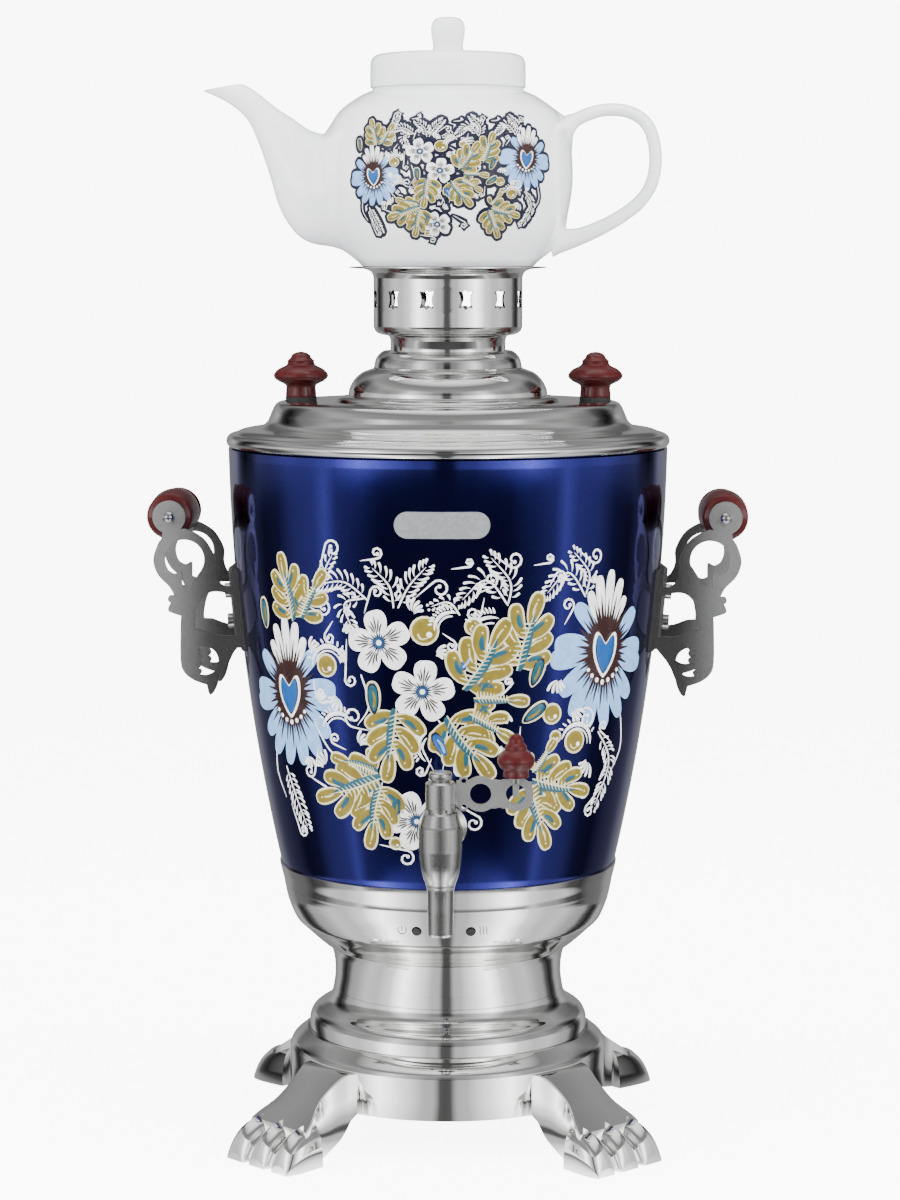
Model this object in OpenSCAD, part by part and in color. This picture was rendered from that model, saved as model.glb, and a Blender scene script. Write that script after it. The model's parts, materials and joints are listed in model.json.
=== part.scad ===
// Electric samovar with a porcelain teapot on its crown.
// Millimetres. Z is up, the origin is on the axis at table level, and the tap faces -Y.

/* [Feet and plinth] */
// Radius of the plinth wall at its ridge
plinth_r = 76.5; // [72:0.5:82]
// Height of the plinth ridge above the table
plinth_z = 40; // [36:0.5:46]
// Height of the plinth's lower edge above the table
arch_z = 20; // [16:0.5:24]
// Height of the rounded shoulder above the ridge
shoulder_h = 7.5; // [6:0.5:11]
// Wall of the cast foot base
cast_wall = 2.5; // [2:0.1:3.5]
// Distance from the axis to the toe tips
toe_reach = 122; // [116:0.5:130]
// Width of a leg at its waist
leg_w = 27; // [22:0.5:32]
// Width of one toe
toe_w = 15; // [13:0.1:17]
// Radius of a rubber foot pad
pad_r = 6; // [4:0.5:8]
// How far the pads stand below the paws
pad_drop = 0.8; // [0.5:0.1:1.5]

/* [Pedestal and bowl] */
// Height of the stepped skirt
skirt_h = 20.3; // [17:0.1:24]
// Radius of the skirt's step
skirt_r = 67; // [64:0.5:69]
// Height of the waisted neck
neck_h = 20.7; // [17:0.1:26]
// Radius of the neck at its waist
neck_r = 54.5; // [50:0.5:58]
// Height of the bowl
bowl_h = 30.3; // [27:0.1:36]
// Height of the steel band under the tank
band_h = 10.8; // [8:0.1:14]
// How far the band's lip stands outside the tank
band_lip = 0.9; // [0.5:0.1:1.5]
// Thickness of the pressed steel sheet
sheet = 1.2; // [0.8:0.1:1.6]

/* [Tank] */
// Height of the tank wall
tank_h = 198.8; // [184:0.2:215]
// Outer radius at the tank's mouth
tank_top_r = 104.4; // [100:0.2:110]
// Outer radius at the tank's foot
tank_foot_r = 80.3; // [77:0.1:84]
// How far the wall bulges beyond a straight cone
tank_bulge = 5.1; // [3:0.1:7]
// Height of the ring inside the tank's mouth
rim_h = 6; // [4:0.5:9]
// Height of the tank's bottom above the tank's foot
floor_lift = 2; // [1:0.5:6]
// Length of the blank badge
badge_l = 43; // [36:0.5:50]
// Width of the blank badge
badge_w = 12; // [9:0.5:15]
// Height of the badge's centre below the tank's mouth
badge_drop = 28.7; // [22:0.1:36]

/* [Heater] */
// Radius of the heating ring
heater_r = 52; // [45:1:58]
// Radius of the heating tube
heater_tube_r = 3.6; // [3:0.1:4.5]
// Height of the heating ring above the tank's bottom
heater_lift = 12; // [9:0.5:18]

/* [Tap] */
// Distance of the tap's axis from the samovar's axis
tap_y = 126; // [120:0.5:132]
// Height of the tap's shank above the tank's foot
tap_lift = 31.5; // [28:0.5:36]
// Radius of the tap's barrel
barrel_r = 9.7; // [9:0.1:10.5]
// Height of the barrel
barrel_h = 33; // [30:0.5:36]
// Length of the spout below the barrel
spout_l = 22.5; // [16:0.5:24]
// Outer radius of the spout
spout_r = 5.8; // [5.4:0.1:6.4]
// Radius of the water bore in the spout
spout_bore = 4; // [3:0.1:4.4]
// Length of the lever from the tap's axis
lever_l = 41.7; // [36:0.1:46]
// Height of the lever plate
lever_h = 15; // [12:0.5:17]
// Thickness of the lever plate
lever_t = 1.8; // [1.4:0.1:2.4]

/* [Handles] */
// Distance of the grip's axis outside the tank's mouth
grip_out = 26.6; // [23:0.1:32]
// Height of the grip's axis below the tank's mouth
grip_drop = 32; // [28:0.1:36]
// Distance between the two side plates
grip_l = 44; // [38:1:50]
// Largest radius of the grip
grip_r = 11.8; // [10:0.2:13.4]
// Reach of the side plates below the grip's axis
bracket_h = 84.4; // [80:0.2:92]
// Thickness of the side plates
plate_t = 2; // [1.5:0.1:2.6]
// Radius of the grip's rod
rod_r = 2; // [1.6:0.1:2.6]

/* [Lid] */
// Radius of the lid's flat deck
deck_r = 79; // [75:0.5:82]
// Height of the deck above the lid's seat
deck_h = 21.8; // [18:0.2:25]
// Radius of the lower step
step_low_r = 47.3; // [45:0.1:50]
// Radius of the upper step
step_high_r = 35.2; // [33:0.1:37]
// Distance of the lid knobs from the axis
knob_x = 70; // [65:0.5:71]
// Height of a lid knob
knob_h = 21.6; // [18:0.2:26]
// Largest radius of a lid knob
knob_r = 13; // [11:0.1:14]

/* [Crown] */
// Outer radius of the crown's cup
cup_r = 35.3; // [33.5:0.1:38]
// Height of the crown from its foot to its plate
crown_h = 39.5; // [36:0.5:44]
// Radius of the plate
plate_r = 46.6; // [44:0.2:52]
// Outer radius of the crown's neck
crown_neck_r = 27.3; // [26:0.1:28]
// Number of pierced shapes round the cup
piercings = 12; // [8:1:14]

/* [Teapot] */
// Largest radius of the pot
pot_r = 58.8; // [55:0.2:63]
// Height of the pot without its lid
pot_h = 83.5; // [78:0.5:92]
// Wall of the porcelain
pot_wall = 3.2; // [2.6:0.1:4]
// Radius of the pot's foot
pot_foot_r = 40.5; // [38:0.5:43]
// Radius of the pot's lid
pot_lid_r = 36.6; // [34:0.2:39]
// Height of the pot's lid without its knob
pot_lid_h = 16; // [12:0.5:20]
// Height of the knob on the pot's lid
pot_knob_h = 17; // [13:0.5:21]

/* [Clearances] */
// Gap between pieces that lift apart
lift_gap = 0.4; // [0.2:0.05:0.8]
// Radial gap between the tap's plug and its seat
plug_gap = 0.06; // [0.03:0.01:0.1]
// Radial gap round screws and pins
screw_gap = 0.15; // [0.05:0.05:0.3]

/* [Hidden] */
$fn = 96;
eps = 0.01;

shoulder_z = plinth_z + shoulder_h;
neck_z = shoulder_z + skirt_h;
bowl_z = neck_z + neck_h;
band_z = bowl_z + bowl_h;
tank_z = band_z + band_h;
rim_z = tank_z + tank_h;
seat_z = rim_z;
floor_z = tank_z + floor_lift;

STEEL = [0.80, 0.80, 0.79];
BRUSHED = [0.66, 0.66, 0.65];
ENAMEL = [0.05, 0.07, 0.33];
WOOD = [0.36, 0.06, 0.06];
PORCELAIN = [0.93, 0.94, 0.95];
RUBBER = [0.08, 0.08, 0.08];
PLASTIC = [0.12, 0.12, 0.13];
BRASS = [0.78, 0.62, 0.28];

// ---- Curves ---------------------------------------------------------------

function reverse(v) = [for (i = [len(v) - 1:-1:0]) v[i]];
function unit(v) = v / norm(v);
function catmull(a, b, c, d, t) =
    0.5 * (2 * b + (c - a) * t + (2 * a - 5 * b + 4 * c - d) * t * t + (3 * b - a - 3 * c + d) * t * t * t);

// A smooth curve through the points, with n pieces between each pair
function spline(p, n = 5) = concat(
    [for (i = [0:len(p) - 2], k = [0:n - 1])
        catmull(p[max(i - 1, 0)], p[i], p[i + 1], p[min(i + 2, len(p) - 1)], k / n)],
    [p[len(p) - 1]]);

// An arc about a centre, from angle a to angle b
function arc(centre, r, a, b, n = 8) =
    [for (i = [0:n]) centre + r * [cos(a + (b - a) * i / n), sin(a + (b - a) * i / n)]];

// An arc from a to b that bulges by sag to the right of the way
function bow(a, b, sag, n = 12) =
    let (c = norm(b - a), r = (c * c / 4 + sag * sag) / (2 * sag), along = unit(b - a),
        side = [along[1], -along[0]], centre = (a + b) / 2 - side * (r - sag), half = asin(c / 2 / r))
    [for (i = [0:n]) let (t = -half + 2 * half * i / n) centre + r * (cos(t) * side + sin(t) * along)];

// The line moved by w to the left of the way, with both ends kept at their own height
function inset(p, w) = [for (i = [0:len(p) - 1])
    let (t = unit(p[min(i + 1, len(p) - 1)] - p[max(i - 1, 0)]), q = p[i] + w * [-t[1], t[0]])
    (i == 0 || i == len(p) - 1) ? [p[i][0] - w / max(t[1], 0.3), p[i][1]] : q];

// A pressed sheet: the outer line, drawn upwards, and the same line moved in by the wall
module pressed(outer, wall) {
    rotate_extrude() polygon(concat(outer, reverse(inset(outer, wall))));
}

module turned(outline) {
    rotate_extrude() polygon(outline);
}

module ring(r_out, r_in, h) {
    difference() {
        cylinder(r = r_out, h = h);
        translate([0, 0, -1]) cylinder(r = r_in, h = h + 2);
    }
}

// A closed skin over a list of rings that hold the same number of points
module loft(rings) {
    n = len(rings[0]);
    last = len(rings) - 1;
    points = [for (r = rings, p = r) p];
    sides = [for (i = [0:last - 1], k = [0:n - 1]) let (a = i * n + k, b = i * n + (k + 1) % n) each
        [[b, a, a + n], [b, a + n, b + n]]];
    polyhedron(points, concat([[for (k = [0:n - 1]) k]], sides, [[for (k = [n - 1:-1:0]) last * n + k]]));
}

module hex_nut(across, h, bore) {
    difference() {
        cylinder(r = across / 2 / cos(30), h = h, $fn = 6);
        translate([0, 0, -1]) cylinder(r = bore, h = h + 2, $fn = 48);
    }
}

module pill(l, w, h) {
    linear_extrude(h, center = true) {
        square([l - w, w], center = true);
        for (s = [-1, 1]) translate([s * (l - w) / 2, 0]) circle(r = w / 2);
    }
}

module on_legs() {
    for (i = [0:3]) rotate(45 + 90 * i) children();
}

// ---- Feet and plinth ------------------------------------------------------

sole_z = pad_drop;
pad_at = toe_reach - 21;
pad_top = 3;
boss_r = 4.5;
boss_at = plinth_r - cast_wall - boss_r - 6;
cover_t = 1.5;
cover_z = arch_z + 2;
cover_screw_r = 1.6;
deck_in_r = neck_r + 2;
deck_low_z = shoulder_z - cast_wall;

plinth_line = concat(
    [[plinth_r - 0.3, arch_z], [plinth_r, plinth_z - 1]],
    spline([[plinth_r - 0.2, plinth_z], [plinth_r - 1.2, plinth_z + 0.27 * shoulder_h],
        [plinth_r - 3, plinth_z + 0.5 * shoulder_h], [plinth_r - 6, plinth_z + 0.8 * shoulder_h],
        [plinth_r - 8.4, shoulder_z]], 5),
    [[deck_in_r, shoulder_z]]);
plinth_inside = concat(
    [[plinth_r - 0.3 - cast_wall, arch_z], [plinth_r - cast_wall, plinth_z - 2.5]],
    spline([[plinth_r - 0.6 - cast_wall, plinth_z - 0.8], [plinth_r - 3 - cast_wall, deck_low_z - 1.6],
        [plinth_r - 7.4 - cast_wall, deck_low_z]], 4),
    [[deck_in_r, deck_low_z]]);

// Side view of a leg: distance from the axis against height
ankle = toe_reach - 13.5;
leg_root = plinth_r - cast_wall + 0.3;
leg_side = concat(
    spline([[leg_root, plinth_z - 0.4], [leg_root + 6, plinth_z - 1], [(leg_root + ankle) / 2, plinth_z * 0.79],
        [ankle - 8, plinth_z * 0.6], [ankle, plinth_z * 0.45]], 5),
    [[ankle + 1, sole_z], [ankle - 13, sole_z]],
    spline([[ankle - 18, sole_z + 2.2], [ankle - 26, sole_z + 8.5], [leg_root + 3, arch_z - 2.5],
        [leg_root, arch_z]], 4));
leg_plan = spline([[leg_root - 4, leg_w * 0.66], [leg_root + 4, leg_w * 0.58], [leg_root + 14, leg_w / 2],
    [ankle - 12, leg_w * 0.52], [ankle - 3, toe_w * 1.26], [ankle + 4, toe_w * 1.34]], 4);

// One toe is a ridged form that swells from the ankle and falls to a blunt nail
toe_root = ankle - 9;
toe_stations = 8;
function toe_ring(s, lean) =
    let (x = toe_root + (toe_reach - toe_root) * s, top = sole_z + plinth_z * 0.46 * sqrt(1.04 - pow(s, 2.6)),
        w = toe_w / 2 * (0.96 + 0.1 * s - 0.34 * pow(s, 4)), y = lean * toe_w * (0.93 + 0.12 * s))
    [for (q = [[1, 0], [1.0, 0.5], [0.66, 0.83], [0, 1.04], [-0.66, 0.83], [-1.0, 0.5], [-1, 0]])
        [x, y + q[0] * w, sole_z + q[1] * (top - sole_z)]];

module leg() {
    intersection() {
        rotate([90, 0, 0]) linear_extrude(4 * leg_w, center = true) polygon(leg_side);
        translate([0, 0, sole_z / 2]) linear_extrude(plinth_z + 4)
            polygon(concat(leg_plan, [for (p = reverse(leg_plan)) [p[0], -p[1]]]));
    }
    for (lean = [-1:1]) loft([for (i = [0:toe_stations]) toe_ring(i / toe_stations, lean)]);
}

module foot_base() {
    color(STEEL) difference() {
        union() {
            rotate_extrude() polygon(concat(plinth_line, reverse(plinth_inside)));
            on_legs() leg();
            for (i = [0:3]) rotate(90 * i) translate([boss_at, 0, cover_z + cover_t])
                cylinder(r = boss_r, h = shoulder_z - cover_z - cover_t - cast_wall / 2);
        }
        on_legs() translate([pad_at, 0, -1]) cylinder(r = pad_r, h = pad_top + 1);
        for (i = [0:3]) rotate(90 * i) translate([boss_at, 0, cover_z])
            cylinder(r = cover_screw_r, h = 14, $fn = 32);
    }
}

module foot_pads() {
    color(RUBBER) on_legs() translate([pad_at, 0, 0]) cylinder(r = pad_r, h = pad_top);
}

cover_r = boss_at + boss_r + 1;
vent_w = 3;
vent_l = 16;
module bottom_cover() {
    color(PLASTIC) translate([0, 0, cover_z]) difference() {
        cylinder(r = cover_r, h = cover_t);
        for (i = [0:3]) rotate(90 * i) translate([boss_at, 0, -1])
            cylinder(r = cover_screw_r + screw_gap, h = cover_t + 2, $fn = 32);
        for (i = [0:11]) rotate(30 * i + 15) translate([cover_r * 0.55, 0, cover_t / 2])
            pill(vent_l, vent_w, cover_t + 2);
    }
}

module cover_screws() {
    color(STEEL) for (i = [0:3]) rotate(90 * i) translate([boss_at, 0, cover_z - 2]) {
        cylinder(r = 3.2, h = 2, $fn = 48);
        cylinder(r = cover_screw_r, h = 13, $fn = 48);
    }
}

// ---- Tie that clamps the pedestal to the tank -------------------------------

stud_r = 3;
clamp_t = 2;
clamp_z = deck_low_z - clamp_t;
clamp_r = deck_in_r + 5;
tie_nut_h = 5;

module clamp_plate() {
    color(BRUSHED) translate([0, 0, clamp_z]) difference() {
        cylinder(r = clamp_r, h = clamp_t);
        translate([0, 0, -1]) cylinder(r = stud_r + screw_gap, h = clamp_t + 2);
        for (i = [0:5]) rotate(60 * i) translate([clamp_r * 0.56, 0, -1]) cylinder(r = 9, h = clamp_t + 2);
        for (i = [0:3]) rotate(90 * i) translate([boss_at, 0, -1]) cylinder(r = boss_r + 0.5, h = clamp_t + 2);
    }
}

module tie_stud() {
    color(STEEL) translate([0, 0, clamp_z - tie_nut_h - 3])
        cylinder(r = stud_r, h = floor_z - clamp_z + tie_nut_h + 3);
}

module tie_nut() {
    color(STEEL) translate([0, 0, clamp_z - tie_nut_h]) hex_nut(10, tie_nut_h, stud_r);
}

// ---- Pedestal ---------------------------------------------------------------

module pedestal_skirt() {
    line = concat(
        [[skirt_r, shoulder_z], [skirt_r, shoulder_z + 0.22 * skirt_h]],
        spline([[skirt_r - 0.3, shoulder_z + 0.3 * skirt_h], [skirt_r - 1.4, shoulder_z + 0.42 * skirt_h],
            [skirt_r - 3.2, shoulder_z + 0.5 * skirt_h], [neck_r + 6.6, shoulder_z + 0.58 * skirt_h],
            [neck_r + 3.4, shoulder_z + 0.7 * skirt_h], [neck_r + 1.6, shoulder_z + 0.85 * skirt_h],
            [neck_r + 0.9, neck_z]], 5));
    color(STEEL) pressed(line, sheet);
}

bowl_foot_r = neck_r + 2.6;
module pedestal_neck() {
    line = spline([[neck_r + 0.9, neck_z], [neck_r + 0.1, neck_z + 0.3 * neck_h], [neck_r + 0.3, neck_z + 0.6 * neck_h],
        [neck_r + 1.3, neck_z + 0.85 * neck_h], [bowl_foot_r, bowl_z]], 5);
    color(STEEL) pressed(line, sheet);
}

band_r = tank_foot_r + band_lip;
bowl_top_r = band_r - 2.4;
bowl_wide = bowl_top_r - bowl_foot_r;
bowl_line = spline([[bowl_foot_r, bowl_z], [bowl_foot_r + 0.22 * bowl_wide, bowl_z + 0.11 * bowl_h],
    [bowl_foot_r + 0.57 * bowl_wide, bowl_z + 0.34 * bowl_h], [bowl_foot_r + 0.76 * bowl_wide, bowl_z + 0.48 * bowl_h],
    [bowl_foot_r + 0.92 * bowl_wide, bowl_z + 0.75 * bowl_h], [bowl_top_r, band_z]], 6);

// Radius of the bowl's outside at a height
function bowl_r(z) = lookup(z, [for (p = bowl_line) [p[1], p[0]]]);

// The heater's terminals stand behind the inlet
terminal_x = 9;
terminal_r = 5;
bend_r = 7;
bend_reach = sqrt(heater_r * heater_r + bend_r * bend_r);
terminal_y = sqrt(bend_reach * bend_reach - terminal_x * terminal_x);

lamp_x = 12.5;
lamp_r = 2;
lamp_z = bowl_z + 0.7 * bowl_h;
lamp_tilt = atan((bowl_r(lamp_z + 3) - bowl_r(lamp_z - 3)) / 6);
inlet_w = 28;
inlet_h = 20;
inlet_z = bowl_z + 0.66 * bowl_h;
inlet_face = band_r + 0.5;
inlet_back = terminal_y + 2.4;
inlet_screw_x = inlet_w / 2 + 6;
inlet_screw_r = 1.5;

module at_lamps() {
    for (s = [-1, 1]) {
        turn = asin(s * lamp_x / bowl_r(lamp_z));
        rotate(turn) translate([0, -bowl_r(lamp_z), lamp_z]) rotate([90 + lamp_tilt, 0, 0]) children();
    }
}

module at_inlet() {
    translate([0, 0, inlet_z]) rotate([-90, 0, 0]) children();
}

module base_bowl() {
    color(STEEL) difference() {
        pressed(bowl_line, sheet);
        at_lamps() translate([0, 0, -8]) cylinder(r = lamp_r + 0.4, h = 16);
        at_inlet() translate([0, 0, inlet_back + (inlet_face + 5 - inlet_back) / 2])
            cube([inlet_w + 2 * screw_gap, inlet_h + 2 * screw_gap, inlet_face + 5 - inlet_back], center = true);
        at_inlet() for (s = [-1, 1]) translate([s * inlet_screw_x, 0, inlet_back])
            cylinder(r = inlet_screw_r, h = inlet_face, $fn = 32);
    }
}

band_line = spline([[bowl_top_r, band_z], [bowl_top_r + 0.6, band_z + 0.3 * band_h],
    [band_r - 0.6, band_z + 0.75 * band_h], [band_r, tank_z]], 4);
module lower_band() {
    color(STEEL) pressed(band_line, sheet + band_lip);
}

// ---- Lamps and power inlet --------------------------------------------------

lens_out = 0.8;
module lamp_lenses() {
    color([0.35, 0.05, 0.04]) at_lamps() {
        translate([0, 0, -5]) cylinder(r = lamp_r, h = 5 + lens_out, $fn = 48);
        translate([0, 0, -sheet - 1.05]) ring(lamp_r + 1.4, lamp_r - eps, 0.8);
    }
}

module lamp_holders() {
    color(PLASTIC) at_lamps() translate([0, 0, -15]) difference() {
        cylinder(r = lamp_r + 1.4, h = 13.95 - sheet, $fn = 48);
        translate([0, 0, 10]) cylinder(r = lamp_r + screw_gap, h = 12, $fn = 48);
    }
}

bezel_w = inlet_w + 18;
bezel_h = inlet_h + 5;
module bowl_outside() {
    turned(concat([[0, bowl_z]], bowl_line, [for (i = [1:len(band_line) - 1]) band_line[i]], [[0, tank_z]]));
}

module inlet_bezel() {
    color(PLASTIC) difference() {
        at_inlet() translate([0, 0, inlet_face - 12]) linear_extrude(12) offset_box(bezel_w, bezel_h, 4);
        bowl_outside();
        at_inlet() translate([0, 0, inlet_face - 7])
            cube([inlet_w + 2 * screw_gap, inlet_h + 2 * screw_gap, 30], center = true);
        at_inlet() for (s = [-1, 1]) translate([s * inlet_screw_x, 0, inlet_back])
            cylinder(r = inlet_screw_r + screw_gap, h = inlet_face, $fn = 32);
    }
}

// A rectangle with round corners, made of squares and circles
module offset_box(w, h, r) {
    square([w - 2 * r, h], center = true);
    square([w, h - 2 * r], center = true);
    for (x = [-1, 1], y = [-1, 1]) translate([x * (w / 2 - r), y * (h / 2 - r)]) circle(r = r);
}

socket_depth = 17;
socket_wall = 2;
pin_l = socket_depth - 4;
module power_inlet() {
    color(PLASTIC) at_inlet() difference() {
        union() {
            translate([0, 0, inlet_back]) linear_extrude(inlet_face - inlet_back) square([inlet_w, inlet_h], center = true);
            translate([0, 0, inlet_face]) linear_extrude(2) offset_box(bezel_w, bezel_h, 4);
        }
        translate([0, 0, inlet_face + 2 - socket_depth])
            linear_extrude(socket_depth + 1)
                polygon([[-inlet_w / 2 + socket_wall, inlet_h / 2 - socket_wall],
                    [inlet_w / 2 - socket_wall, inlet_h / 2 - socket_wall],
                    [inlet_w / 2 - socket_wall, -inlet_h / 2 + socket_wall + 4],
                    [inlet_w / 2 - socket_wall - 4, -inlet_h / 2 + socket_wall],
                    [-inlet_w / 2 + socket_wall + 4, -inlet_h / 2 + socket_wall],
                    [-inlet_w / 2 + socket_wall, -inlet_h / 2 + socket_wall + 4]]);
        at_inlet_pins() translate([0, 0, -eps]) cube([2.2, 5.2, 60], center = true);
        for (s = [-1, 1]) translate([s * inlet_screw_x, 0, inlet_back])
            cylinder(r = inlet_screw_r + screw_gap, h = inlet_face, $fn = 32);
    }
}

module at_inlet_pins() {
    for (p = [[-7, 2], [0, -2], [7, 2]]) translate([p[0], p[1], inlet_face + 2 - socket_depth - 3 + pin_l / 2])
        children();
}

module inlet_pins() {
    color(BRASS) at_inlet() at_inlet_pins() cube([2, 5, pin_l + 12], center = true);
}

module inlet_screws() {
    color(STEEL) at_inlet() for (s = [-1, 1]) translate([s * inlet_screw_x, 0, inlet_face + 2]) {
        cylinder(r = 2.8, h = 1.6, $fn = 48);
        translate([0, 0, -11]) cylinder(r = inlet_screw_r, h = 11.5, $fn = 48);
    }
}

// ---- Tank -------------------------------------------------------------------

tank_line = bow([tank_foot_r, tank_z], [tank_top_r, rim_z], tank_bulge, 24);
tank_wall_t = sheet;
seam_gap = 0.02;

// Radius of the tank's outside at a height
function tank_r(z) = lookup(z, [for (p = tank_line) [p[1], p[0]]]);

tank_inside = inset(tank_line, tank_wall_t + seam_gap);

// Radius that fits inside the tank's wall at a height
function tank_in_r(z) = lookup(z, [for (p = tank_inside) [p[1], p[0]]]);

module tank_hollow() {
    rotate_extrude($fn = 360) polygon(concat([[0, tank_z]], tank_inside, [[0, rim_z]]));
}

module tank_outside(grow = 0) {
    rotate_extrude($fn = 360) polygon(concat([[0, tank_z]], [for (p = tank_line) p + [grow, 0]], [[0, rim_z]]));
}

shank_z = tank_z + tap_lift;
shank_r = 6;
module tank_wall() {
    color(ENAMEL) difference() {
        pressed(tank_line, tank_wall_t);
        translate([0, 0, shank_z]) rotate([90, 0, 0]) cylinder(r = shank_r + screw_gap, h = tank_top_r + 5);
        at_handle_screws() cylinder(r = handle_screw_r + screw_gap, h = 20, center = true, $fn = 48);
    }
}

floor_flange = 7;
module tank_floor() {
    inner = [tank_in_r(floor_z), tank_in_r(floor_z + floor_flange)];
    color(BRUSHED) difference() {
        turned([[0, floor_z], [inner[0], floor_z], [inner[1], floor_z + floor_flange],
            [inner[1] - sheet, floor_z + floor_flange], [inner[0] - sheet - 2, floor_z + sheet], [0, floor_z + sheet]]);
        for (s = [-1, 1]) translate([s * terminal_x, terminal_y, floor_z - 1])
            cylinder(r = terminal_r + screw_gap, h = 10);
    }
}

rim_wall = 3;
rim_in_r = tank_top_r - tank_wall_t - rim_wall;
module tank_rim() {
    color(STEEL) intersection() {
        translate([0, 0, rim_z - rim_h]) ring(tank_top_r + 1, rim_in_r, rim_h, $fn = 360);
        tank_hollow();
    }
}

badge_t = 0.9;
module badge_plate() {
    color(BRUSHED) intersection() {
        difference() {
            tank_outside(badge_t);
            tank_outside();
        }
        translate([0, -tank_top_r, rim_z - badge_drop]) rotate([90, 0, 0]) pill(badge_l, badge_w, 40);
    }
}

// ---- Heater and its controls --------------------------------------------------

heater_z = floor_z + sheet + heater_lift;
heater_gap = asin(terminal_x / bend_reach) + atan(bend_r / heater_r);
seal_t = 1.5;
collar_z = floor_z + sheet + seal_t;
sleeve_r = heater_tube_r + 0.5;
sleeve_l = 4;
module heating_element() {
    color(BRUSHED) {
        translate([0, 0, heater_z]) rotate(90 + heater_gap)
            rotate_extrude(angle = 360 - 2 * heater_gap) translate([heater_r, 0]) circle(r = heater_tube_r, $fn = 32);
        for (s = [0, 1]) mirror([s, 0, 0]) {
            rotate(90 - heater_gap) translate([heater_r, 0, heater_z - bend_r]) rotate([90, 0, 90])
                rotate_extrude(angle = 90) translate([bend_r, 0]) circle(r = heater_tube_r, $fn = 32);
            rotate(90 - heater_gap) translate([heater_r, 0, heater_z]) rotate([90, 0, 0])
                cylinder(r = sleeve_r, h = sleeve_l, center = true, $fn = 48);
            translate([terminal_x, terminal_y, heater_z - bend_r])
                cylinder(r = sleeve_r, h = sleeve_l, center = true, $fn = 48);
            translate([terminal_x, terminal_y, collar_z + 3])
                cylinder(r = heater_tube_r, h = heater_z - bend_r - collar_z - 3, $fn = 32);
            translate([terminal_x, terminal_y, collar_z]) cylinder(r = terminal_r + 2, h = 3);
            translate([terminal_x, terminal_y, floor_z - 8]) cylinder(r = terminal_r, h = collar_z - floor_z + 8);
            translate([terminal_x, terminal_y, floor_z - 14]) cylinder(r = 1.6, h = 6, $fn = 32);
        }
    }
}

module heater_seals() {
    color(RUBBER) for (s = [-1, 1]) translate([s * terminal_x, terminal_y, floor_z + sheet])
        ring(terminal_r + 2.2, terminal_r, seal_t);
}

module heater_nuts() {
    color(BRASS) for (s = [-1, 1]) translate([s * terminal_x, terminal_y, floor_z - 4]) hex_nut(14, 4, terminal_r);
}

module thermostat() {
    color(PLASTIC) translate([-26, 4, floor_z]) {
        translate([0, 0, -1]) cylinder(r = 12, h = 1);
        translate([0, 0, -11]) cylinder(r = 9, h = 10);
        for (s = [-1, 1]) translate([s * 4 - 0.4, -3, -18]) cube([0.8, 6, 7.5]);
    }
}

module dry_boil_cutout() {
    color([0.86, 0.84, 0.78]) translate([26, 4, floor_z]) {
        translate([0, 0, -9]) cylinder(r = 8, h = 9);
        translate([0, 0, -12]) cylinder(r = 2.5, h = 3);
        for (s = [-1, 1]) translate([-3, s * 5 - 0.4, -16]) cube([6, 0.8, 7.5]);
    }
}

// ---- Tap ----------------------------------------------------------------------

barrel_low = shank_z - 0.6 * barrel_h;
barrel_top = barrel_low + barrel_h;
plug_top_r = 5.2;
plug_low_r = 4.4;
seat_low = barrel_low + 9;
flange_r = 11;
flange_t = 2.5;
tap_wall_y = tank_r(shank_z + flange_r) + 0.5;
nut_t = 5;
nut_y = tank_r(shank_z - flange_r) - tank_wall_t - 1.5;
shank_end = nut_y - nut_t - 3;
port_r = 3.2;
axial_bore = 2.6;
stop_r = 0.7;
stop_at = 6.3;
head_z = barrel_top + 0.4;
head_h = 13.4;
head_r = 6.7;
spout_seat_r = 6.2;
spout_thread_r = 5.2;

module at_tap() {
    translate([0, -tap_y, 0]) children();
}

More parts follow.
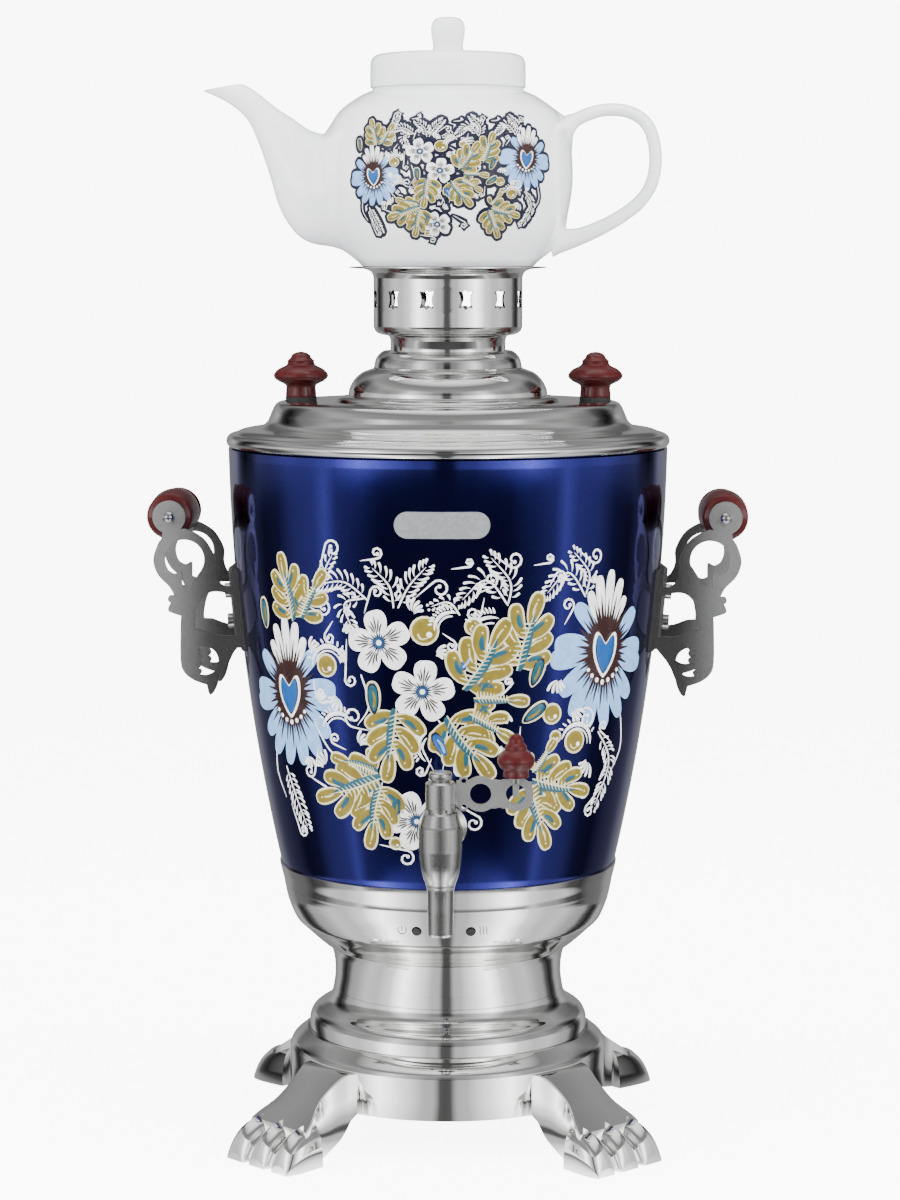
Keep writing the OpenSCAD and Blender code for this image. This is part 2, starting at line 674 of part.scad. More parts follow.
module tap_body() {
    color(BRUSHED) difference() {
        union() {
            at_tap() turned(concat([[0, barrel_low], [spout_seat_r + 0.2, barrel_low]],
                spline([[spout_seat_r + 0.3, barrel_low + 0.1], [spout_seat_r + 0.6, barrel_low + 1.4],
                    [barrel_r - 1.6, barrel_low + 5], [barrel_r - 0.6, barrel_low + 9.4],
                    [barrel_r, barrel_low + 16]], 4),
                [[barrel_r, barrel_top - 6.5], [barrel_r - 0.5, barrel_top - 5.6], [head_r + 0.9, barrel_top - 0.6],
                    [head_r + 0.4, barrel_top], [0, barrel_top]]));
            translate([0, 0, shank_z]) rotate([90, 0, 0]) cylinder(r = shank_r + 0.9, h = tap_y);
            translate([0, -tap_wall_y, shank_z]) rotate([90, 0, 0])
                turned([[0, 0], [flange_r, 0], [flange_r, flange_t * 0.5], [flange_r - 3, flange_t],
                    [shank_r + 2, flange_t + 2.2], [0, flange_t + 2.2]]);
        }
        translate([0, -tap_wall_y, shank_z]) rotate([-90, 0, 0]) ring(2 * flange_r, shank_r, tap_y);
        translate([0, -shank_end, shank_z]) rotate([-90, 0, 0]) cylinder(r = 2 * shank_r, h = tap_y);
        translate([0, -tap_y, shank_z]) rotate([-90, 0, 0]) cylinder(r = port_r + 0.4, h = tap_y);
        at_tap() translate([0, 0, seat_low - eps])
            cylinder(r1 = plug_low_r + plug_gap, r2 = plug_top_r + plug_gap, h = barrel_top - seat_low + 2 * eps);
        at_tap() translate([0, 0, barrel_low - 1]) cylinder(r = spout_thread_r, h = seat_low - barrel_low + 1);
        at_tap() rotate(stop_angle) translate([stop_at, 0, barrel_top - 2]) cylinder(r = stop_r, h = 4, $fn = 32);
    }
    color(BRUSHED) at_tap() rotate(stop_angle) translate([stop_at, 0, barrel_top - 2])
        cylinder(r = stop_r, h = 3.6, $fn = 32);
}

// The spout screws up into the barrel, under the plug
spout_low = barrel_low - spout_l;
module tap_spout() {
    color(BRUSHED) at_tap() difference() {
        union() {
            turned(concat([[0, spout_low], [spout_r - 0.5, spout_low], [spout_r - 0.2, spout_low + 1]],
                spline([[spout_r, spout_low + 0.5 * spout_l], [spout_r + 0.1, barrel_low - 3],
                    [spout_seat_r + 0.2, barrel_low]], 4), [[0, barrel_low]]));
            translate([0, 0, barrel_low - 0.5]) cylinder(r = spout_thread_r, h = 6.5);
        }
        translate([0, 0, spout_low - 1]) cylinder(r = spout_bore, h = spout_l + 10);
    }
}

// The plug turns in its seat: its side port faces the shank when the lever points to the front
module tap_plug() {
    color(BRUSHED) at_tap() difference() {
        union() {
            translate([0, 0, seat_low + 0.5])
                cylinder(r1 = plug_low_r + 0.5 * (plug_top_r - plug_low_r) / (barrel_top - seat_low), r2 = plug_top_r,
                    h = barrel_top - seat_low - 0.5);
            translate([0, 0, barrel_top - eps]) cylinder(r = plug_top_r, h = 0.4 + 2 * eps);
            turned([[0, head_z], [head_r, head_z], [head_r, head_z + head_h - 0.8], [head_r - 0.8, head_z + head_h],
                [0, head_z + head_h]]);
        }
        translate([0, 0, seat_low - 1]) cylinder(r = axial_bore, h = shank_z - seat_low + 1 + port_r);
        translate([0, 0, shank_z]) rotate([0, -90, 0]) cylinder(r = port_r, h = 20);
        translate([0, -lever_t / 2, lever_z - lever_tang / 2]) cube([2 * head_r, lever_t, lever_tang]);
        translate([0, 0, head_z - eps]) rotate(stop_angle - stop_half)
            rotate_extrude(angle = 90 + 2 * stop_half)
                translate([stop_at - stop_r - 0.2, 0]) square([head_r, 1.7]);
    }
}

stop_half = asin((stop_r + 0.15) / stop_at) + 0.5;
stop_angle = 200;
cap_h = 4.6;
cap_r = 5.2;
module tap_cap() {
    color(BRUSHED) at_tap() translate([0, 0, head_z + head_h])
        turned(concat([[0, 0], [cap_r - 1, 0], [cap_r - 1, 0.8], [cap_r, 1.2], [cap_r, cap_h - 1.4]],
            arc([cap_r - 1.4, cap_h - 1.4], 1.4, 0, 90, 5), [[0, cap_h]]));
}

lever_z = head_z + 0.6 * head_h;
lever_tang = 8;
lobe_r = lever_h / 2;
lever_eye = 4.7;
lever_eye_x = 17.7;
lever_tip_x = lever_l - lobe_r - 0.6;
module tap_lever() {
    color(BRUSHED) at_tap() translate([0, 0, lever_z])
        rotate([90, 0, 0]) linear_extrude(lever_t, center = true) difference() {
            union() {
                translate([1.5, -lever_tang / 2]) square([10, lever_tang]);
                translate([head_r + 0.3, -lever_h / 2 + 1.6]) square([9, lever_h - 3.2]);
                translate([lever_eye_x, 0]) circle(r = lobe_r + 0.4);
                translate([lever_eye_x, -lever_h / 2 + 1.1]) square([lever_tip_x - lever_eye_x, lever_h - 2.2]);
                translate([lever_tip_x, 0]) circle(r = lobe_r);
                translate([lever_tip_x, -lever_h / 2 + 2]) square([lobe_r - 0.6, lever_h - 4]);
                for (s = [-1, 1]) translate([head_r + 3.4, s * (lobe_r - 1.9)]) circle(r = 2.1, $fn = 48);
            }
            translate([lever_eye_x, 0]) circle(r = lever_eye, $fn = 64);
            difference() {
                translate([lever_tip_x - 0.3, 0]) circle(r = lever_eye - 0.3, $fn = 64);
                translate([lever_tip_x - 1.7, -1.2]) square([2.8, lever_eye + 1]);
            }
            for (s = [-1, 1]) translate([head_r + 3.6, s * (lobe_r - 1.7)]) circle(r = 1.1, $fn = 32);
            for (s = [-1, 1]) translate([(lever_eye_x + lever_tip_x) / 2 + 0.4, s * (lobe_r + 1.1)])
                circle(r = 2.6, $fn = 48);
        }
}

// Outline of a turned knob with a stem, a wide waist ring and a tiered top
function knob_line(h, r, stem) = concat(
    [[0, 0], [stem, 0], [stem, 0.08 * h]],
    spline([[stem * 0.96, 0.2 * h], [stem * 1.03, 0.27 * h], [r * 0.86, 0.36 * h], [r, 0.47 * h], [r * 0.86, 0.6 * h],
        [r * 0.55, 0.7 * h], [r * 0.49, 0.76 * h], [r * 0.5, 0.8 * h]], 5),
    spline([[r * 0.42, 0.84 * h], [r * 0.36, 0.885 * h], [r * 0.34, 0.92 * h], [r * 0.2, 0.975 * h], [0, h]], 4));

// The tap's knob has a low skirt, a wide belly and two tiers above it
function tap_knob_line(h, r, stem) = concat(
    [[0, 0], [stem, 0], [stem, 0.06 * h]],
    spline([[stem * 0.97, 0.12 * h], [stem * 1.04, 0.17 * h], [r * 0.88, 0.27 * h], [r, 0.41 * h], [r * 0.88, 0.53 * h],
        [r * 0.6, 0.63 * h]], 5),
    spline([[r * 0.58, 0.66 * h], [r * 0.56, 0.72 * h], [r * 0.42, 0.79 * h]], 4),
    spline([[r * 0.4, 0.82 * h], [r * 0.38, 0.88 * h], [r * 0.24, 0.97 * h], [0, h]], 4));

lever_top = lever_z + lever_h / 2 + 0.02;
knob_foot_r = 2.2;
knob_foot_h = 0.8;
tap_knob_h = 19.4;
tap_knob_r = 8.4;
tap_stem_r = 5.7;
module tap_knob() {
    color(WOOD) at_tap() translate([lever_tip_x - 0.3, 0, lever_top]) difference() {
        turned(tap_knob_line(tap_knob_h, tap_knob_r, tap_stem_r));
        translate([0, 0, -1]) cylinder(r = 1.25, h = 9, $fn = 32);
        translate([0, 0, -1]) cylinder(r = knob_foot_r + screw_gap, h = 1 + knob_foot_h + screw_gap, $fn = 48);
    }
}

// The knob's stud: its slotted foot sits astride the lever's upper edge and is welded there
module tap_knob_pin() {
    color(STEEL) at_tap() translate([lever_tip_x - 0.3, 0, lever_top]) difference() {
        union() {
            cylinder(r = 1.25, h = 8, $fn = 32);
            translate([0, 0, -2.6]) cylinder(r = knob_foot_r, h = 2.6 + knob_foot_h, $fn = 48);
        }
        translate([0, 0, -5]) cube([10, lever_t + 0.04, 10], center = true);
    }
}

// Wedge washers carry the level shank on the tank's slope
module tap_outer_seal() {
    color(RUBBER) difference() {
        translate([0, -tap_wall_y, shank_z]) rotate([-90, 0, 0]) ring(flange_r - 0.5, shank_r, 14);
        tank_outside();
    }
}

module tap_inner_seal() {
    color(RUBBER) intersection() {
        translate([0, -nut_y, shank_z]) rotate([90, 0, 0]) ring(flange_r - 0.5, shank_r, 14);
        tank_hollow();
    }
}

module tap_nut() {
    color(BRASS) translate([0, -nut_y + nut_t, shank_z]) rotate([90, 0, 0]) hex_nut(19, nut_t, shank_r);
}

// ---- Handles --------------------------------------------------------------------

grip_x = tank_top_r + grip_out;
grip_z = rim_z - grip_drop;
plate_k = bracket_h / 84.4;
saddle_h = 36 * plate_k;
saddle_z = grip_z - 44 * plate_k;
saddle_w = grip_l + 2 * plate_t;
pad_t = 1.4;
handle_screw_z = [saddle_z - 7.3 * plate_k, saddle_z + 7.3 * plate_k];
handle_screw_r = 2;
eye_r = 7.8;
wall_lean = atan((tank_r(saddle_z + 10) - tank_r(saddle_z - 10)) / 20);

// A point of the side plate, counted from the grip's axis; the scroll keeps its form at any reach
function plate(across, up) = [grip_x + across * plate_k, grip_z + up * plate_k];

// The side plate is cut from sheet: a scroll with two loops, a leaf on its outer edge and a drop at its foot
module side_plate() {
    difference() {
        union() {
            circle_at(0, 0, eye_r / plate_k);
            circle_at(-0.9, -38.8, 1.8);
            polygon(concat(plate_outer(), plate_drop(), [plate(-45, -58), plate(-45, -34)], plate_inner()));
        }
        loop_window();
        saddle_window();
        heel_window();
    }
}

module circle_at(across, up, r) {
    translate(plate(across, up)) circle(r = r * plate_k, $fn = 64);
}

function plate_outer() = concat(
    spline([plate(3.2, -7), plate(3.4, -9.6), plate(5.6, -13.2), plate(7.6, -20.4), plate(5.4, -27.4),
        plate(0.2, -32.9), plate(-1.9, -36.6)], 4),
    spline([plate(-1.6, -39), plate(-0.2, -41), plate(0.8, -44.3), plate(-2.6, -46), plate(-5.3, -46.8)], 3),
    spline([plate(-5.1, -50), plate(-4.9, -67.2), plate(-6.4, -73.4), plate(-11, -77.4), plate(-17.2, -79.6)], 4));

function plate_drop() = spline([plate(-17.6, -81), plate(-18.6, -84.4), plate(-20.6, -83.2), plate(-22.3, -79.6),
    plate(-23.8, -74.4), plate(-27.2, -68), plate(-32.4, -61.6)], 4);

function plate_inner() = concat(
    spline([plate(-29.5, -32.9), plate(-26, -32.5), plate(-23.2, -30.2), plate(-21.4, -25.4), plate(-21.4, -19),
        plate(-17.4, -11.4), plate(-12.2, -7.4), plate(-7.4, -5.4)], 4));

module loop_window() {
    difference() {
        union() {
            circle_at(-7.2, -20, 9.3);
            polygon([plate(-15.4, -24.4), plate(-12.6, -28.6), plate(-9.9, -32.8), plate(-8, -33.4), plate(-5.9, -32.6),
                plate(-5.9, -25)]);
        }
        polygon(concat([plate(-5.9, -34), plate(-5.9, -26)],
            spline([plate(-4.9, -25.6), plate(-2.4, -26.9), plate(0.6, -25.2), plate(4, -22)], 3), [plate(4, -34)]));
    }
}

module saddle_window() {
    polygon(concat([plate(-45, -36.7)],
        spline([plate(-28.6, -36.7), plate(-24.8, -35.5), plate(-19.7, -35.5), plate(-16, -37.9),
            plate(-13, -42.9), plate(-11.5, -49.8), plate(-11.5, -53.2)], 4),
        spline([plate(-15.6, -53.4), plate(-22.2, -55.8), plate(-28.6, -56.2)], 3), [plate(-45, -56.2)]));
}

module heel_window() {
    difference() {
        circle_at(-16, -68.2, 6.9);
        translate(plate(-12.8, -76)) square([8, 16] * plate_k);
        for (notch = [[-12.9, -63.6, 1.6], [-13.2, -66.6, 1.9], [-12.9, -69.9, 1.9], [-13.4, -73.4, 1.5]])
            circle_at(notch[0], notch[1], notch[2]);
    }
}

module to_side(side) {
    if (side > 0) children();
    else mirror([1, 0, 0]) children();
}

module saddle_block(w, h) {
    translate([0, -w / 2, saddle_z - h / 2]) cube([2 * tank_top_r, w, h]);
}

// The frame of a handle screw: it stands square to the wall
module at_screw(z) {
    translate([tank_r(z), 0, z]) rotate([0, 90 + wall_lean, 0]) children();
}

module handle_bracket(side) {
    color(BRUSHED) to_side(side) difference() {
        union() {
            for (s = [-1, 1]) translate([0, s * (grip_l + plate_t) / 2, 0]) rotate([90, 0, 0])
                linear_extrude(plate_t, center = true) side_plate();
            intersection() {
                tank_outside(pad_t + plate_t);
                saddle_block(saddle_w, saddle_h);
            }
        }
        tank_outside(pad_t);
        for (z = handle_screw_z) at_screw(z) cylinder(r = handle_screw_r + screw_gap, h = 20, center = true, $fn = 48);
        translate([grip_x, 0, grip_z]) rotate([90, 0, 0])
            cylinder(r = rod_r + screw_gap, h = grip_l + 20, center = true, $fn = 48);
    }
}

module handle_saddle(side) {
    color(PLASTIC) to_side(side) difference() {
        intersection() {
            tank_outside(pad_t);
            saddle_block(saddle_w + 2, saddle_h + 3);
        }
        tank_outside();
        for (z = handle_screw_z) at_screw(z) cylinder(r = handle_screw_r + screw_gap, h = 20, center = true, $fn = 48);
    }
}

module handle_grip(side) {
    half = grip_l / 2;
    color(WOOD) to_side(side) translate([grip_x, 0, grip_z]) rotate([90, 0, 0]) difference() {
        turned(concat([[0, -half], [grip_r - 2.2, -half]],
            spline([[grip_r - 1.2, -half + 0.8], [grip_r - 1, -half + 3], [grip_r - 2.6, -half + 5.5],
                [grip_r - 1.2, -half * 0.62], [grip_r, 0], [grip_r - 1.2, half * 0.62],
                [grip_r - 2.6, half - 5.5], [grip_r - 1, half - 3], [grip_r - 1.2, half - 0.8]], 4),
            [[grip_r - 2.2, half], [0, half]]));
        cylinder(r = rod_r + screw_gap, h = 2 * grip_l, center = true, $fn = 48);
    }
}

rod_nut_r = 3;
module handle_rod(side) {
    out = grip_l / 2 + plate_t;
    color(STEEL) to_side(side) translate([grip_x, 0, grip_z]) rotate([90, 0, 0]) {
        cylinder(r = rod_r, h = 2 * out + 1, center = true, $fn = 48);
        for (s = [0, 1]) mirror([0, 0, s]) translate([0, 0, out])
            turned(concat([[0, 0], [rod_nut_r, 0]], arc([0, 0.8], rod_nut_r, 0, 90, 8)));
    }
}

module at_handle_screws() {
    for (s = [0, 1]) mirror([s, 0, 0]) for (z = handle_screw_z) at_screw(z) children();
}

nut_h = 3.2;
handle_seal_t = 1.8;
nut_from = -tank_wall_t - handle_seal_t - nut_h;
head_from = pad_t + plate_t + 0.05;
module handle_screws() {
    color(STEEL) at_handle_screws() {
        translate([0, 0, nut_from - 1.5]) cylinder(r = handle_screw_r, h = head_from - nut_from + 1.5, $fn = 48);
        translate([0, 0, head_from]) difference() {
            cylinder(r = 3.6, h = 2.8, $fn = 48);
            translate([0, 0, 1]) cylinder(r = 1.8, h = 3, $fn = 6);
        }
    }
}

// Silicone washers, pressed to the tank's curve, keep the screw holes tight
module handle_seals() {
    color(RUBBER) intersection() {
        at_handle_screws() translate([0, 0, -tank_wall_t - handle_seal_t])
            ring(5.4, handle_screw_r, 2 * handle_seal_t);
        tank_hollow();
    }
}

module handle_nuts() {
    color(STEEL) at_handle_screws() translate([0, 0, nut_from]) hex_nut(7, nut_h, handle_screw_r);
}

// ---- Lid --------------------------------------------------------------------------

deck_z = seat_z + deck_h;
roll_r = 3.4;
lid_edge_r = tank_top_r + 1;
roll_c = [lid_edge_r - roll_r, seat_z + roll_r];
skirt_gap_r = rim_in_r - lift_gap;
collar_r = crown_neck_r - sheet - lift_gap;
collar_h = 5;
step_low_z = deck_z + 2.9;
step_high_z = deck_z + 15.4;
crown_z = deck_z + 24;
slope_w = lid_edge_r - 7.2 - deck_r;
lid_line = concat(
    spline([[roll_c[0] - 0.6, roll_c[1] + roll_r - 0.1], [lid_edge_r - 7.2, seat_z + 8.4],
        [deck_r + 0.594 * slope_w, seat_z + 9.6], [deck_r + 0.396 * slope_w, seat_z + 0.53 * deck_h],
        [deck_r + 0.302 * slope_w, seat_z + 0.66 * deck_h], [deck_r + 0.24 * slope_w, seat_z + 0.8 * deck_h],
        [deck_r + 0.135 * slope_w, deck_z - 1], [deck_r, deck_z]], 5),
    spline([[step_low_r + 6.6, deck_z], [step_low_r + 5.6, deck_z + 1.3], [step_low_r + 3.4, deck_z + 2.3],
        [step_low_r + 0.8, deck_z + 2.6]], 4),
    spline([[step_low_r, step_low_z], [step_low_r - 0.4, step_low_z + 3],
        [step_low_r - 2.6, step_low_z + 7.2], [step_low_r - 6, step_low_z + 10.4],
        [step_high_r + 2.6, step_high_z - 0.6], [step_high_r + 0.6, step_high_z]], 4),
    spline([[step_high_r, step_high_z + 0.6], [step_high_r - 0.9, step_high_z + 4.6],
        [step_high_r - 2.8, crown_z - 1.4], [step_high_r - 4.6, crown_z - 0.2], [crown_neck_r + 2, crown_z]], 4),
    [[collar_r, crown_z], [collar_r, crown_z + collar_h]]);

module lid_shell() {
    color(STEEL) difference() {
        union() {
            rotate_extrude() polygon(concat(lid_line, reverse(lid_inside)));
            turned(concat([[skirt_gap_r - sheet, seat_z - 9], [skirt_gap_r, seat_z - 9], [skirt_gap_r, seat_z],
                [roll_c[0], seat_z]], arc(roll_c, roll_r, -90, 100, 14), [[skirt_gap_r - sheet, seat_z + roll_r + 2.6]]));
        }
        for (s = [-1, 1]) translate([s * knob_x, 0, deck_z - 8])
            cylinder(r = lid_screw_r + screw_gap, h = 16, $fn = 48);
    }
}

// The lid's inner line: the outer one moved in by the sheet, closed at the collar
lid_inside = [for (i = [0:len(lid_line) - 1])
    let (t = unit(lid_line[min(i + 1, len(lid_line) - 1)] - lid_line[max(i - 1, 0)]),
        q = lid_line[i] + sheet * [-t[1], t[0]])
    i == len(lid_line) - 1 ? [collar_r - sheet, crown_z + collar_h]
    : i == len(lid_line) - 2 ? [collar_r - sheet, crown_z - sheet] : q];

lid_screw_r = 2;
washer_t = 1.8;
stem_r = 7.3;
module lid_knob(side) {
    color(WOOD) translate([side * knob_x, 0, deck_z + washer_t]) difference() {
        turned(knob_line(knob_h, knob_r, stem_r));
        translate([0, 0, -1]) cylinder(r = lid_screw_r, h = 12, $fn = 48);
    }
}

module lid_knob_washers() {
    color(RUBBER) for (s = [-1, 1]) translate([s * knob_x, 0, deck_z]) ring(stem_r + 0.1, lid_screw_r, washer_t);
}

module lid_knob_screws() {
    color(STEEL) for (s = [-1, 1]) translate([s * knob_x, 0, deck_z - sheet]) {
        cylinder(r = lid_screw_r, h = 12, $fn = 48);
        translate([0, 0, -2.4]) cylinder(r = 3.8, h = 2.4, $fn = 48);
    }
}

// ---- Crown ------------------------------------------------------------------------

crown_top = crown_z + crown_h;
cup_floor = crown_z + 0.195 * crown_h;
crown_line = concat(
    [[crown_neck_r, crown_z]],
    spline([[crown_neck_r, crown_z + 0.12 * crown_h], [crown_neck_r + 1, cup_floor - 0.9], [cup_r - 4.6, cup_floor],
        [cup_r - 1.9, cup_floor + 1.5], [cup_r - 0.5, cup_floor + 5]], 4),
    spline([[cup_r, cup_floor + 0.5 * (crown_top - cup_floor)], [cup_r + 0.4, crown_top - 5], [cup_r + 1.8, crown_top - 2.2],
        [cup_r + 5, crown_top - 1.1], [plate_r - 1, crown_top - 0.7]], 4));
piercing_z = crown_top - 15.2;

// A hide shape: four corners, drawn-in sides and a point at the top and the foot
piercing_w = 7.2;
piercing_h = 9.6;
function hide_shape(w, h) = [for (q = [[0, 1], [0.28, 0.76], [1, 0.82], [0.74, 0.36], [0.68, 0], [0.74, -0.36],
    [1, -0.82], [0.28, -0.76], [0, -1], [-0.28, -0.76], [-1, -0.82], [-0.74, -0.36], [-0.68, 0], [-0.74, 0.36],
    [-1, 0.82], [-0.28, 0.76]]) [q[0] * w / 2, q[1] * h / 2]];

module crown() {
    color(STEEL) difference() {
        union() {
            rotate_extrude() polygon(concat(crown_line,
                [[plate_r, crown_top - 0.5], [plate_r, crown_top], [cup_r + 0.6, crown_top]],
                reverse(crown_inside)));
        }
        for (i = [0:piercings - 1]) rotate((i + 0.5) * 360 / piercings) translate([0, -cup_r - 5, piercing_z])
            rotate([-90, 0, 0]) linear_extrude(12) polygon(hide_shape(piercing_w, piercing_h));
    }
}

crown_inside = concat(
    [[crown_neck_r - sheet, crown_z]],
    spline([[crown_neck_r - sheet, crown_z + 0.14 * crown_h], [crown_neck_r + 0.4, cup_floor + sheet - 0.7],
        [cup_r - 5, cup_floor + sheet], [cup_r - 1.9 - sheet, cup_floor + 2.7], [cup_r - 0.5 - sheet, cup_floor + 5.4]], 4),
    spline([[cup_r - sheet, cup_floor + 0.5 * (crown_top - cup_floor)], [cup_r + 0.4 - sheet, crown_top - 4],
        [cup_r + 0.6 - 0.3, crown_top - 0.8]], 4));

// ---- Teapot -----------------------------------------------------------------------

pot_z = crown_top;
mouth_r = pot_lid_r - 6;
pot_top = pot_z + pot_h;
pot_line = concat(
    [[pot_foot_r - 4, pot_z], [pot_foot_r, pot_z]],
    spline([[pot_foot_r + 1.2, pot_z + 1.4], [pot_foot_r + 8, pot_z + 0.11 * pot_h],
        [pot_r - 3.6, pot_z + 0.24 * pot_h], [pot_r - 0.5, pot_z + 0.41 * pot_h], [pot_r, pot_z + 0.55 * pot_h],
        [pot_r - 1.6, pot_z + 0.73 * pot_h], [pot_r - 7, pot_z + 0.86 * pot_h], [pot_r - 16, pot_z + 0.945 * pot_h],
        [pot_lid_r - 0.8, pot_z + 0.985 * pot_h]], 6),
    [[pot_lid_r - 1.2, pot_top], [mouth_r, pot_top]]);
pot_inside = concat(
    [[mouth_r, pot_z + 0.945 * pot_h]],
    spline([[pot_r - 17, pot_z + 0.9 * pot_h], [pot_r - 8.6, pot_z + 0.82 * pot_h],
        [pot_r - 1.4 - pot_wall, pot_z + 0.7 * pot_h], [pot_r - pot_wall, pot_z + 0.55 * pot_h],
        [pot_r - 0.6 - pot_wall, pot_z + 0.41 * pot_h], [pot_r - 4.2 - pot_wall, pot_z + 0.26 * pot_h],
        [pot_foot_r + 2.5, pot_z + 0.11 * pot_h], [pot_foot_r - 6, pot_z + 2.2 + pot_wall]], 5),
    [[0, pot_z + 1.6 + pot_wall], [0, pot_z + 1.6], [pot_foot_r - 6, pot_z + 1.6]]);

// The spout is lofted between its upper and lower edge, as [upper x, z, lower x, z, half width]
spout_edges = [
    [-46, 58.5, -44, 9, 19], [-57, 60.4, -66, 11.5, 18], [-66, 64.5, -78, 24, 14.5], [-74, 69.9, -84.6, 44, 11],
    [-81, 74.5, -89.5, 58, 8.8], [-88, 80, -95, 69.3, 7], [-93, 83.6, -104.5, 77.2, 6],
    [-96.5, 85.4, -115.3, 82.2, 5.2]];
spout_sides = 18;
spout_wall = 2.4;
function spout_ring(e, wall) =
    let (up = [e[0], e[1]], low = [e[2], e[3]], mid = (up + low) / 2, half = norm(up - low) / 2,
        dir = unit(up - low), a = half - wall, b = e[4] - wall)
    [for (k = [0:spout_sides - 1]) let (t = 360 * k / spout_sides)
        [mid[0] + dir[0] * a * cos(t), b * sin(t), pot_z + mid[1] + dir[1] * a * cos(t)]];
spout_out = [for (e = spline(spout_edges, 3)) spout_ring(e, 0)];
spout_hollow = [for (e = spline([for (i = [0:len(spout_edges) - 1])
    spout_edges[i] + (i == len(spout_edges) - 1 ? [0, 0.3, -1.4, 1.2, 0] : [0, 0, 0, 0, 0])], 3)) spout_ring(e, spout_wall)];

loop_sides = 12;
handle_path = [[53, 63], [60, 68.6], [72, 73], [85, 72.4], [94, 66], [97.6, 54], [96.6, 41], [91, 31],
    [80, 22.5], [68, 16.4], [57, 12.4], [48, 10]];
handle_half = [3.6, 3.2, 3, 3, 3, 3, 3, 3.1, 3.3, 3.7, 4.4, 5.2];
handle_depth = [6.4, 5.6, 5.2, 5, 5, 5, 5, 5, 5.1, 5.4, 6, 6.8];
function handle_ring(p, way, half, depth) =
    [for (k = [0:loop_sides - 1]) let (t = 360 * k / loop_sides, side = [-way[1], way[0]])
        [p[0] + side[0] * half * cos(t), -depth * sin(t), pot_z + p[1] + side[1] * half * cos(t)]];
handle_dense = spline([for (i = [0:len(handle_path) - 1]) concat(handle_path[i], [handle_half[i], handle_depth[i]])], 2);
handle_rings = [for (i = [0:len(handle_dense) - 1])
    let (d = handle_dense, a = d[max(i - 1, 0)], b = d[min(i + 1, len(d) - 1)])
    handle_ring([d[i][0], d[i][1]], unit([b[0] - a[0], b[1] - a[1]]), d[i][2], d[i][3])];

strainer_r = 1.6;
module teapot() {
    color(PORCELAIN) {
        difference() {
            union() {
                turned(concat([[0, pot_z + 1.6], [pot_foot_r - 6, pot_z + 1.6]], pot_line, [[0, pot_top]]));
                loft(spout_out);
                loft(handle_rings);
            }
            turned(concat([[0, pot_top + 1], [mouth_r, pot_top + 1]], pot_hollow));
            difference() {
                loft(spout_hollow);
                turned(pot_block);
            }
            for (a = [0, 60, 120, 180, 240, 300]) translate([-pot_r + 8, 0, pot_z + 0.42 * pot_h])
                rotate([0, -90, 0]) translate([5.5 * cos(a), 5.5 * sin(a), -6]) cylinder(r = strainer_r, h = 16, $fn = 24);
        }
    }
}

pot_hollow = concat([[mouth_r, pot_top]], [for (i = [0:len(pot_inside) - 3]) pot_inside[i]]);
pot_block = concat([[0, pot_z]], [for (p = pot_line) if (p[1] > pot_z) p], [[0, pot_top]]);

// Bell of the pot's lid, with a locating rim inside and a button on top
pot_lid_z = pot_top;
module teapot_lid() {
    top = pot_lid_z + pot_lid_h;
    in_r = mouth_r - lift_gap;
    color(PORCELAIN) turned(concat(
        [[in_r - 2.6, pot_lid_z - 7], [in_r, pot_lid_z - 7], [in_r, pot_lid_z], [pot_lid_r, pot_lid_z]],
        spline([[pot_lid_r, pot_lid_z + 0.3 * pot_lid_h], [pot_lid_r - 0.2, pot_lid_z + 0.72 * pot_lid_h],
            [pot_lid_r - 1.6, pot_lid_z + 0.9 * pot_lid_h], [pot_lid_r - 5, pot_lid_z + 0.98 * pot_lid_h],
            [pot_lid_r - 12, top]], 4),
        spline([[8.4, top + 0.2], [7.2, top + 0.09 * pot_knob_h], [7.1, top + 0.24 * pot_knob_h],
            [7.7, top + 0.5 * pot_knob_h], [7.9, top + 0.72 * pot_knob_h], [6.6, top + 0.92 * pot_knob_h],
            [3.6, top + 0.99 * pot_knob_h], [0, top + pot_knob_h]], 4),
        [[0, top - 3.4], [pot_lid_r - 12, top - 3.4], [pot_lid_r - 5, top - 4.4], [in_r - 2.6, top - 6.4]]));
}

// ---- Show -------------------------------------------------------------------------

foot_base();
foot_pads();
bottom_cover();
cover_screws();
clamp_plate();
tie_stud();
tie_nut();
pedestal_skirt();
pedestal_neck();
base_bowl();
lower_band();
tank_wall();
tank_floor();
tank_rim();
badge_plate();
heating_element();
heater_seals();
heater_nuts();
thermostat();
dry_boil_cutout();
lamp_lenses();
lamp_holders();
inlet_bezel();
power_inlet();
inlet_pins();
inlet_screws();
tap_body();
tap_spout();
tap_outer_seal();
tap_inner_seal();
tap_nut();
tap_plug();
tap_cap();
tap_lever();
tap_knob();
tap_knob_pin();
handle_bracket(-1);  // handle_bracket_left
handle_bracket(1);  // handle_bracket_right
handle_saddle(-1);  // handle_saddle_left
handle_saddle(1);  // handle_saddle_right
handle_grip(-1);  // handle_grip_left
handle_grip(1);  // handle_grip_right
handle_rod(-1);  // handle_rod_left
handle_rod(1);  // handle_rod_right
handle_screws();
handle_seals();
handle_nuts();
lid_shell();
lid_knob(-1);  // lid_knob_left
lid_knob(1);  // lid_knob_right
lid_knob_washers();
lid_knob_screws();
crown();
teapot();
teapot_lid();
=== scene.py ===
"""Looks of an electric samovar: steel, blue enamel with painted flowers, lacquered wood and porcelain.

Sizes are in millimetres until a piece is made, and +Z is up with the tap towards -Y.
"""
import json
import math

